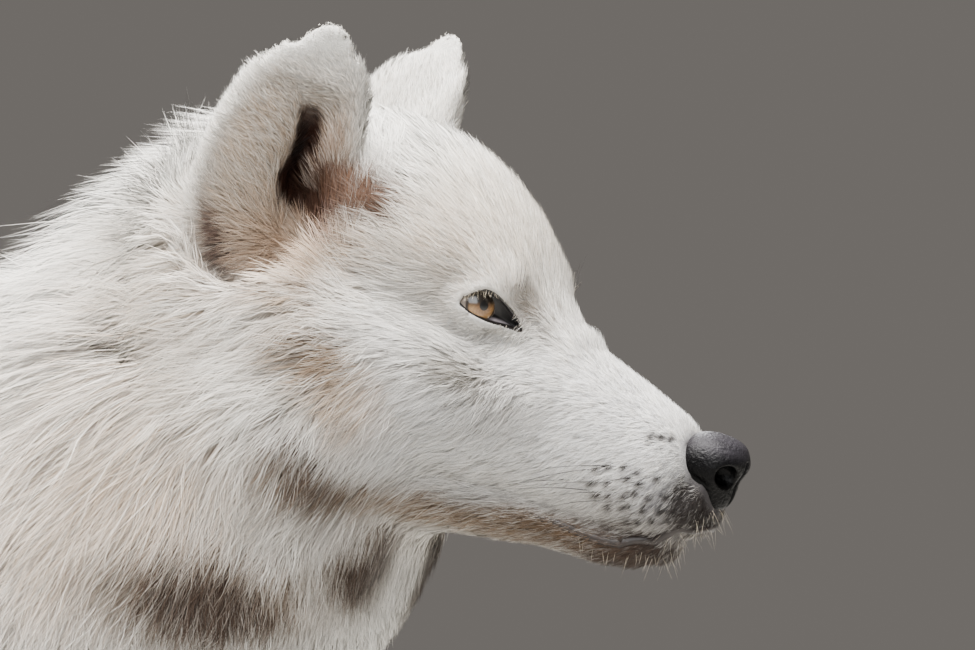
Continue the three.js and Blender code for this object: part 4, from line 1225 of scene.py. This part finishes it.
# %% Blades from the roots
def blades(root, normal, lie, length, lift, width, roll, bend, segments):
    """A strand's middle line is root + L (t d0 + t^2 (d1 - d0) / 2): it leaves the skin along d0, at the
    steeper lift, and ends along d1, nearly flat, and bends aside by bend L sin(pi t). The blade is that
    line made wide and tapered. It is shaded as part of the coat: its normals lean to the skin's own."""
    first, last = lift
    d0 = np.cos(first)[:, None] * lie + np.sin(first)[:, None] * normal
    d1 = np.cos(last)[:, None] * lie + np.sin(last)[:, None] * normal
    side = np.cross(d0, normal)
    side /= np.linalg.norm(side, axis=1, keepdims=True)
    edge = side * np.cos(roll)[:, None] + normal * np.sin(roll)[:, None]
    t = np.linspace(0, 1, segments + 1)[None, :, None]
    line = root[:, None] + length[:, None, None] * (t * d0[:, None] + t**2 * (d1 - d0)[:, None] / 2)
    line = line + (bend * length)[:, None, None] * np.sin(np.pi * t) * side[:, None]
    wide = width[:, None, None] * (1 - t[:, :-1] ** 2 * 0.75) / 2
    left, right = line[:, :-1] - wide * edge[:, None], line[:, :-1] + wide * edge[:, None]
    pairs = np.stack([left, right], 2).reshape(len(root), -1, 3)
    points = np.concatenate([pairs, line[:, -1:]], 1)
    flat = np.cross(edge, (d0 + d1) / 2)
    facing = 0.7 * normal + 0.3 * flat / np.linalg.norm(flat, axis=1, keepdims=True)
    facing /= np.linalg.norm(facing, axis=1, keepdims=True)
    return points, np.broadcast_to(facing[:, None], points.shape)


def blade_faces(count, segments):
    """Two triangles for each step along the blade and one at the tip, for every blade."""
    one = []
    for k in range(segments - 1):
        a = 2 * k
        one += [(a, a + 1, a + 3), (a, a + 3, a + 2)]
    a = 2 * (segments - 1)
    one.append((a, a + 1, a + 2))
    start = np.arange(count)[:, None, None] * (2 * segments + 1)
    return (start + np.array(one)[None]).reshape(-1, 3)

# %% [markdown]
# An export bakes each piece's colour into a picture, and needs to know where on the picture a strand
# lies. Each strand gets a tiny patch at its root's place on an unwrap of the body: round the body
# one way and along it the other. The patch says where on a picture of the piece's colour the strand
# lies.

# %% Unwrap of the coat
def round_and_along(point, kind):
    """Two numbers from 0 to 1: the angle round the part's own axis, and how far along it."""
    x, y, z = point.T
    place = body_to_head(point)
    if kind == "head":
        turn, along = np.arctan2(y, place[:, 1] - 5), place[:, 0] / 340
    elif kind == "ear":
        rise, across, outward = ear_frame(*np.moveaxis(place, -1, 0))
        turn = np.arctan2(outward + 6, across) / 2 + np.where(y < 0, -np.pi / 2, np.pi / 2)
        along = rise
    elif kind == "neck":
        up_neck, above = neck_frame(x, z)
        turn, along = np.arctan2(y, above + 20), up_neck / 480
    elif kind == "legs":
        fore = x > -300
        axis_x, axis_y = np.where(fore, 30, -600), np.where(y < 0, -90, 90)
        turn = np.arctan2(y - axis_y, x - axis_x) / 4 + (fore * 2 + (y < 0) - 1.5) * np.pi / 2
        along = z / 560
    elif kind == "tail":
        turn, along = np.arctan2(y, x + 785), (z - 300) / 420
    else:
        turn, along = np.arctan2(y, z - 560), (x + 760) / 960
    return np.clip(np.stack([turn / (2 * np.pi) + 0.5, along], -1), 0.004, 0.996)

# %% One piece of the coat
def outline_at(points):
    """The outline's field at points on either side of the body."""
    return in_chunks(lambda x, y, z: outline_field(x, np.abs(y), z), points)


thin = 1.0


def kept_inside(root, tip, length, spare):
    """Shorten a strand whose tip would pass the outline by more than `spare`: the field is taken to rise
    evenly from root to tip."""
    start, end = outline_at(root), outline_at(tip)
    share = (spare - start) / np.maximum(end - start, 1e-3)
    return length * np.clip(np.where(end > spare, share, 1), 0.4, 1)


def coat_piece(name, faces, triangles, kind, segments=2, strands=8, spread=1.3, width=0.4, lift=(24, 10),
               swirl=12, curl=0.05, seed=1, root_shade=0.8, spare=1.0):  # fmt: skip
    """Scatter locks on the faces, give each its strands, and join them all into one mesh."""
    random = np.random.default_rng(seed)
    locks = int(triangles * thin / (2 * segments - 1) / strands)
    n = locks * strands
    mix, area = scatter(faces, locks, random)
    centre, normal = mix(skin_points), mix(skin_normals)
    normal /= np.linalg.norm(normal, axis=1, keepdims=True)
    depth = mix(skin_depth)
    drift = np.radians(swirl) * (ripple(centre, 24 * spread, seed + 1) + 0.7 * random.normal(size=locks))
    lie = turned(flat_on(mix(skin_lies), normal), normal, drift)
    rise, fall = np.radians(lift)[:, None] * random.uniform(0.8, 1.2, (2, locks))
    ahead, outward = np.cos(rise) + np.cos(fall), np.sin(rise) + np.sin(fall)
    length = depth / (0.5 * outward)
    tip = centre + length[:, None] * (ahead[:, None] * lie + outward[:, None] * normal) / 2
    length = kept_inside(centre, tip, length, spare)

    each = lambda values: np.repeat(values, strands, axis=0)
    normal, along = each(normal), each(lie)
    offset = random.normal(size=(n, 2)) * spread
    root = each(centre) + offset[:, :1] * np.cross(normal, along) + offset[:, 1:] * along - 0.4 * normal
    length = each(length) * random.uniform(0.62, 1.07, n)
    lean = turned(along, normal, np.radians(6) * random.normal(size=n) - np.arctan2(offset[:, 0] * 0.65, length))
    angles = each(rise) * random.uniform(0.85, 1.15, n), each(fall) * random.uniform(0.6, 1.3, n)
    roll = np.radians(30) * random.normal(size=n)
    wide = width * random.uniform(0.7, 1.3, n)
    bend = curl * each(random.normal(size=locks)) + 0.5 * curl * random.normal(size=n)
    points, shading = blades(root, normal, lean, length, angles, wide, roll, bend, segments)
    points[..., 2] = np.maximum(points[..., 2], 0.4)
    grit = 0.35 * each(random.normal(size=locks)) + 0.35 * random.normal(size=n)
    colour = markings(points[:, -3:-1].mean(1), np.clip(grit, -0.55, 1))
    shade = each(1 + 0.07 * random.normal(size=locks)) * (1 - 0.5 * random.random(n) ** 4)
    shade = shade * (1 + 0.08 * random.normal(size=n))
    # From root to tip each strand runs from a warmer, darker colour to its own: the warmth is the underfur's tint,
    # and the darkening is painted shade deep in the coat.
    t = np.append(np.repeat(np.arange(segments) / segments, 2), 1.0)
    deep = np.array([1.06, 0.98, 0.9]) * root_shade
    ramp = deep + (1 - deep) * np.minimum(t * 1.3, 1)[:, None]
    rgb = colour[:, None] * shade[:, None, None] * ramp[None]
    triangles_out = blade_faces(n, segments)
    piece = new_piece(name, points.reshape(-1, 3), triangles_out)
    piece.data.normals_split_custom_set_from_vertices(shading.reshape(-1, 3))
    give_colour(piece, "marking", np.clip(rgb, 0, 0.95).reshape(-1, 3))
    patch = np.stack([np.append(np.tile([-1.0, 1.0], segments), 0.0) * 0.0015, (t - 0.5) * 0.003], -1)
    uv = (round_and_along(root, kind)[:, None] + patch[None]).reshape(-1, 2)[triangles_out.ravel()]
    piece.data.uv_layers.new(name="OFBake").data.foreach_set("uv", uv.astype(np.float32).ravel())
    piece.data.materials.append(fur)
    print(f"{name}: {n} strands, {n / area:.2f} to a square millimetre, {length.mean():.0f} mm long")

# %% Measures of the skin that the coat needs
skin_normals = straight_out(skin_field, skin_points)
skin_lies = lie_of_coat(skin_points, skin_normals)
skin_place = body_to_head(skin_points)
skin_colour = markings(skin_points)
ear_up, ear_across, ear_out = ear_frame(*np.moveaxis(skin_place, -1, 0))
skin_on_ear = (in_chunks(ear_field, skin_place) < 2.5) & (ear_up > 0.1)
skin_depth = np.maximum(-outline_at(skin_points), 1.2)
in_bowl = smooth_step(ear_out, -ear_depth(ear_up) + 2, -ear_depth(ear_up) + 9)
in_bowl *= 1 - smooth_step(np.abs(ear_across) / ear_half(ear_up), 0.5, 0.85)
ear_fuzz = 3.2 - 1.2 * smooth_step(ear_up, 0.8, 0.95)
ear_fuzz = ear_fuzz + 4.0 * in_bowl * (1 - smooth_step(ear_up, 0.35, 0.8))
skin_depth[skin_on_ear] = ear_fuzz[skin_on_ear]
# The skin takes the markings at 0.62 of their brightness, as painted shade under the coat.
give_colour(skin, "marking", skin_colour * 0.62)

# %% Parts of the skin
tri = np.vstack([skin_faces[:, [0, 1, 2]], skin_faces[:, [0, 2, 3]]])
middle = skin_points[tri].mean(1)
at_x, at_y, at_z = middle.T
aside = np.abs(at_y)
place = body_to_head(middle)
on_ear = skin_on_ear[tri].any(1)
bare = in_chunks(nose_field, middle) < 1.2
bare |= in_chunks(lambda *p: opening_field(np.stack(p, -1)) - 1.5, place) < 0
bare |= np.linalg.norm(place[:, None] - lip_path[None, ::2], axis=-1).min(1) < 2.6
bare |= at_z < 1
rise_on_neck = neck_frame(at_x, at_z)[0]
is_head = (place[:, 0] < 300) & (at_x > 190) & (place[:, 1] > -95 - 0.12 * place[:, 0])
is_neck = ~is_head & (at_x > 0) & (rise_on_neck > 60) & (at_z > 470)
is_tail = (at_x < -705) | ((at_x < -640) & (at_z > 640) & (aside < 30))
rest = ~is_head & ~is_neck & ~is_tail
is_leg = rest & (at_z < 400 - 40 * (at_x > -300)) & (aside > 40)
is_paw = is_leg & (at_z < 75)
is_trunk = rest & ~is_leg & ~on_ear
for region, mask in (("head", is_head), ("neck", is_neck), ("trunk", is_trunk), ("legs", is_leg)):
    print("faces on the", region, int(mask.sum()))

# %% [markdown]
# ## The coat, region by region
#
# Hair is shortest on the muzzle, a few centimetres on the cheeks, and longest on the neck, where it
# makes the ruff. Each region is one piece, with as many strands as its length and its place in view ask:
# the right cheek and neck, which face the camera, have more and finer strands than the left.

# %% Coat of the head
head_hair = is_head & ~on_ear & ~bare
front, mid = place[:, 0] < 98, (place[:, 0] >= 98) & (place[:, 0] < 158)
left_side = at_y >= 0
coat_piece("coat_muzzle", tri[head_hair & front], 170_000, "head", strands=5, spread=0.9, width=0.26,
           lift=(34, 14), swirl=7, seed=11, root_shade=0.62)  # fmt: skip
coat_piece("coat_face", tri[head_hair & mid], 190_000, "head", strands=6, spread=1.2, width=0.32,
           lift=(26, 11), swirl=10, seed=12, root_shade=0.58)  # fmt: skip
rear = head_hair & ~front & ~mid
coat_piece("coat_cheek_right", tri[rear & ~left_side], 190_000, "head", segments=3, strands=9, spread=2.0,
           width=0.42, lift=(36, 14), swirl=15, seed=13, root_shade=0.52)  # fmt: skip
coat_piece("coat_cheek_left", tri[rear & left_side], 120_000, "head", segments=3, strands=9, spread=2.0,
           width=0.55, lift=(36, 14), swirl=15, seed=14, root_shade=0.52)  # fmt: skip
coat_piece("coat_ears", tri[on_ear], 130_000, "ear", strands=5, spread=1.0, width=0.32,
           lift=(34, 16), swirl=14, seed=15, root_shade=0.6, spare=40)  # fmt: skip

# %% Coat of the body
neck_front = is_neck & (rise_on_neck > 235)
coat_piece("coat_neck_right", tri[neck_front & ~left_side], 190_000, "neck", segments=3, strands=11, spread=3.0,
           width=0.5, lift=(52, 24), swirl=17, curl=0.09, seed=21, root_shade=0.5)  # fmt: skip
coat_piece("coat_neck_left", tri[neck_front & left_side], 90_000, "neck", segments=3, strands=11, spread=3.0,
           width=0.8, lift=(52, 24), swirl=17, curl=0.09, seed=22, root_shade=0.5)  # fmt: skip
coat_piece("coat_chest", tri[is_neck & ~neck_front], 110_000, "neck", segments=3, strands=11, spread=3.6,
           width=1.1, lift=(46, 20), swirl=14, curl=0.07, seed=23, root_shade=0.5)  # fmt: skip
coat_piece("coat_trunk", tri[is_trunk], 120_000, "trunk", segments=3, strands=10, spread=4.5,
           width=1.7, lift=(40, 16), swirl=11, seed=24, root_shade=0.55)  # fmt: skip
coat_piece("coat_legs", tri[is_leg & ~is_paw & ~bare], 80_000, "legs", strands=7, spread=2.4,
           width=0.9, lift=(28, 12), swirl=9, seed=25, root_shade=0.6)  # fmt: skip
coat_piece("coat_paws", tri[is_paw & ~bare], 45_000, "legs", strands=5, spread=1.4,
           width=0.6, lift=(24, 8), swirl=8, seed=26, root_shade=0.65)  # fmt: skip
coat_piece("coat_tail", tri[is_tail], 45_000, "tail", segments=3, strands=9, spread=4.0,
           width=1.4, lift=(38, 20), swirl=11, seed=27, root_shade=0.55)  # fmt: skip

# %% [markdown]
# ## Whiskers and claws
#
# Whiskers are stiff black hairs that grow from small dark pits in rows on the upper lip, with finer ones
# at the brow and pale bristles on the chin. They are round and tapered, so they are tubes, not blades.

# %% Many like forms as one mesh
def joined(forms):
    """Grids of the same shape, such as tubes, as one set of points and faces."""
    rows, turns = forms[0].shape[:2]
    faces = (np.arange(len(forms))[:, None, None] * rows * turns + revolved(turns, rows)[None]).reshape(-1, 4)
    return np.concatenate([form.reshape(-1, 3) for form in forms]), faces

# %% Whiskers
whisker_taper = np.array([3.0, 1.5, 1, 0.9, 0.8, 0.7, 0.6, 0.45, 0.3, 0.1])


def whiskers(name, roots, ways, lengths, root_width, droop, material, seed):
    """Each whisker bends as root + L t way - L droop t^2, as a three-sided tapering tube with a fat base."""
    random = np.random.default_rng(seed)
    roots, ways = np.asarray(roots, float), np.broadcast_to(np.asarray(ways, float), (len(roots), 3))
    root = settle(skin_field, head_to_body(roots), rounds=3)
    normal = straight_out(skin_field, root)
    way = head_direction(ways) + 0.12 * random.normal(size=root.shape)
    way /= np.linalg.norm(way, axis=1, keepdims=True)
    length = np.asarray(lengths) * random.uniform(0.85, 1.1, len(root))
    t = np.linspace(0, 1, len(whisker_taper))[None, :, None]
    line = root[:, None] - 0.5 * normal[:, None] + t * length[:, None, None] * way[:, None]
    line = line + 1.6 * normal[:, None] * np.sqrt(t) - droop * length[:, None, None] * t**2 * np.array([0.1, 0, 1])
    side = np.cross(way, normal)
    side /= np.linalg.norm(side, axis=1, keepdims=True)
    turn = full_turn(3)[None, None, :, None]
    thick = root_width * whisker_taper[None, :, None, None] / 2
    ring = line[:, :, None] + thick * (np.cos(turn) * side[:, None, None] + np.sin(turn) * normal[:, None, None])
    piece = new_piece(name, *mirrored(*joined(ring)))
    piece.data.materials.append(material)


pit_out = 32.0
whisker_roots = np.column_stack([pits, np.full(len(pits), pit_out)])
reach = 5 + 42 * smooth_step(pits[:, 0], 38, 58) * (pits[:, 1] < -10)
whiskers("whiskers_lip", whisker_roots, (1.0, -0.25, 0.35), reach, 0.42, 0.16, whisker_black, 6)
brow_roots = [(109, 41, 36), (112, 43, 37), (107, 38, 34), (114, 41, 40), (110, 45, 33)]
whiskers("brow_bristles", brow_roots, (0.05, 1.0, 0.35), [17, 12, 8, 9, 7], 0.3, -0.1, whisker_black, 7)
chin_rows = [((9, -36, 3), (20, -45, 14), 12), ((16, -52, 2), (36, -60, 14), 16), ((6, -24, 3), (12, -34, 15), 10),
             ((20, -56, 8), (60, -60, 20), 14)]  # fmt: skip
chin_random = np.random.default_rng(8)
chin_roots = np.concatenate([np.linspace(*row) for row in chin_rows])
chin_roots = chin_roots + 1.8 * chin_random.normal(size=chin_roots.shape)
chin_ways = np.array([-0.1, -0.9, 0.25]) + 0.3 * chin_random.normal(size=chin_roots.shape)
chin_lengths = 4 + 9 * chin_random.random(len(chin_roots)) ** 2
whiskers("chin_bristles", chin_roots, chin_ways, chin_lengths, 0.13, 0.1, bristle_pale, 9)

# %% Lashes
lash_t = np.linspace(0.08, 0.31, 40)
lash_root = [np.interp(lash_t * lid_steps, np.arange(lid_steps), lid_loop[:, k]) for k in range(3)]
lash_root = np.stack(lash_root, -1)
lash_thickness = 0.09


def lashes(name, way, length, material, seed):
    """Short curved hairs from the upper lid: root + L (t way + t^2 fall)."""
    random = np.random.default_rng(seed)
    root = lash_root + 0.5 * random.normal(size=lash_root.shape) + 0.6 * lid_w
    aim_lash = np.asarray(way, float) + 0.18 * random.normal(size=root.shape)
    aim_lash /= np.linalg.norm(aim_lash, axis=1, keepdims=True)
    long = length * random.uniform(0.6, 1.1, (len(root), 1, 1))
    t = np.linspace(0, 1, 6)[None, :, None]
    line = root[:, None] + long * t * aim_lash[:, None] + 0.25 * long * t**2 * lid_w
    turn = full_turn(3)[None, None, :, None]
    thick = lash_thickness * (1 - 0.9 * t)[..., None]
    ring = line[:, :, None] + thick * (np.cos(turn) * lid_u + np.sin(turn) * lid_w)
    piece = new_piece(name, *mirrored(*joined(head_to_body(ring))))
    piece.data.materials.append(material)


lashes("lashes_pale", 0.6 * lid_w - 0.7 * lid_v + 0.15 * lid_u, 4.4, bristle_pale, 31)
lashes("lashes_dark", 0.8 * lid_w + 0.35 * lid_v + 0.5 * lid_u, 4.0, whisker_black, 32)

# %% Claws and paw pads
stands = ((fore_x, fore_y, 1.0), (hind_x, hind_y, hind_size))
feet = [(x, hand * y, size) for x, y, size in stands for hand in (1, -1)]
toes = [(x + 14 + ahead * size, y + side * aside * size, a * size, w * size)
        for x, y, size in feet for ahead, up, aside, a, h, w in toe_layout for side in (1, -1)]  # fmt: skip


def claw(x, y, reach):
    """A horn: circles along a falling curve, their radius 4.3 (1 - t^1.6) + 0.5, taller than wide."""
    t = np.linspace(0, 1, 14)[:, None]
    turn = full_turn(12)[None]
    radius = 4.3 * (1 - t**1.6) + 0.5
    along, fall = x + reach - 8 + 23 * t, 17 - 4 * t - 9.5 * t**2
    beside, above = y + 0.72 * radius * np.cos(turn), fall + radius * np.sin(turn)
    return np.stack([along - 0.35 * radius * np.sin(turn), beside, above], -1)


def pad(x, y, long, wide):
    """A cushion that stands on the floor: an ellipsoid cut flat at z = 0."""
    away, turn = np.linspace(0.02, np.pi - 0.02, 14)[:, None], full_turn(20)[None]
    ahead, beside = x + long * np.sin(away) * np.cos(turn), y + wide * np.sin(away) * np.sin(turn)
    height = 3.2 + 5.2 * np.cos(away) + 0 * turn
    return np.stack([ahead, beside, np.maximum(height, 0)], -1)


claws = new_piece("claws", *joined([claw(*toe[:3]) for toe in toes]))
claws.data.materials.append(horn)
pads = [pad(x - 2, y, a * 0.72, w * 0.72) for x, y, a, w in toes]
pads += [pad(x + 24 * size, y, 20 * size, 23 * size) for x, y, size in feet]
paw_pads = new_piece("paw_pads", *joined(pads))
pad_leather = finish("pad leather", tone(44, 38, 36), 0.7, patches=(200, 0.3), grain=(900, 0.8, 0.0008))
paw_pads.data.materials.append(pad_leather)

# %% Floor and light
floor_mesh = bpy.data.meshes.new("floor")
floor_mesh.from_pydata([(-6, -6, 0), (6, -6, 0), (6, 6, 0), (-6, 6, 0)], [], [(0, 1, 2, 3)])
floor = bpy.data.objects.new("floor", floor_mesh)
bpy.context.collection.objects.link(floor)
floor_paint = finish("plain pale floor", tone(178, 176, 171), 0.8, patches=(3, 0.03), grain=(60, 0.05, 0.001))
floor.data.materials.append(floor_paint)


def soft_light(name, place, aim_at, size, power, colour=(1, 1, 1)):
    """A large square light that faces a point."""
    light = bpy.data.lights.new(name, "AREA")
    light.energy, light.size, light.color = power, size, colour
    lamp = bpy.data.objects.new(name, light)
    way = np.array(aim_at, float) - place
    lamp.location = place
    lamp.rotation_euler = (np.arccos(-way[2] / np.linalg.norm(way)), 0, np.arctan2(way[1], way[0]) - np.pi / 2)
    bpy.context.collection.objects.link(lamp)


soft_light("sky panel", (0.3, -0.45, 2.7), (0.35, 0, 0.8), 2.2, 345, (1.0, 0.98, 0.95))
soft_light("camera side fill", (2.2, -3.6, 2.2), (0.5, 0, 0.75), 2.4, 122, (0.97, 0.985, 1.0))
soft_light("far rim", (-1.2, 2.6, 2.4), (0.4, 0, 0.9), 2.0, 130)
world = bpy.data.worlds.new("studio")
bpy.context.scene.world = world
world.use_nodes = True
world.node_tree.nodes["Background"].inputs["Color"].default_value = (*tone(112, 108, 104), 1)
world.node_tree.nodes["Background"].inputs["Strength"].default_value = 1.0
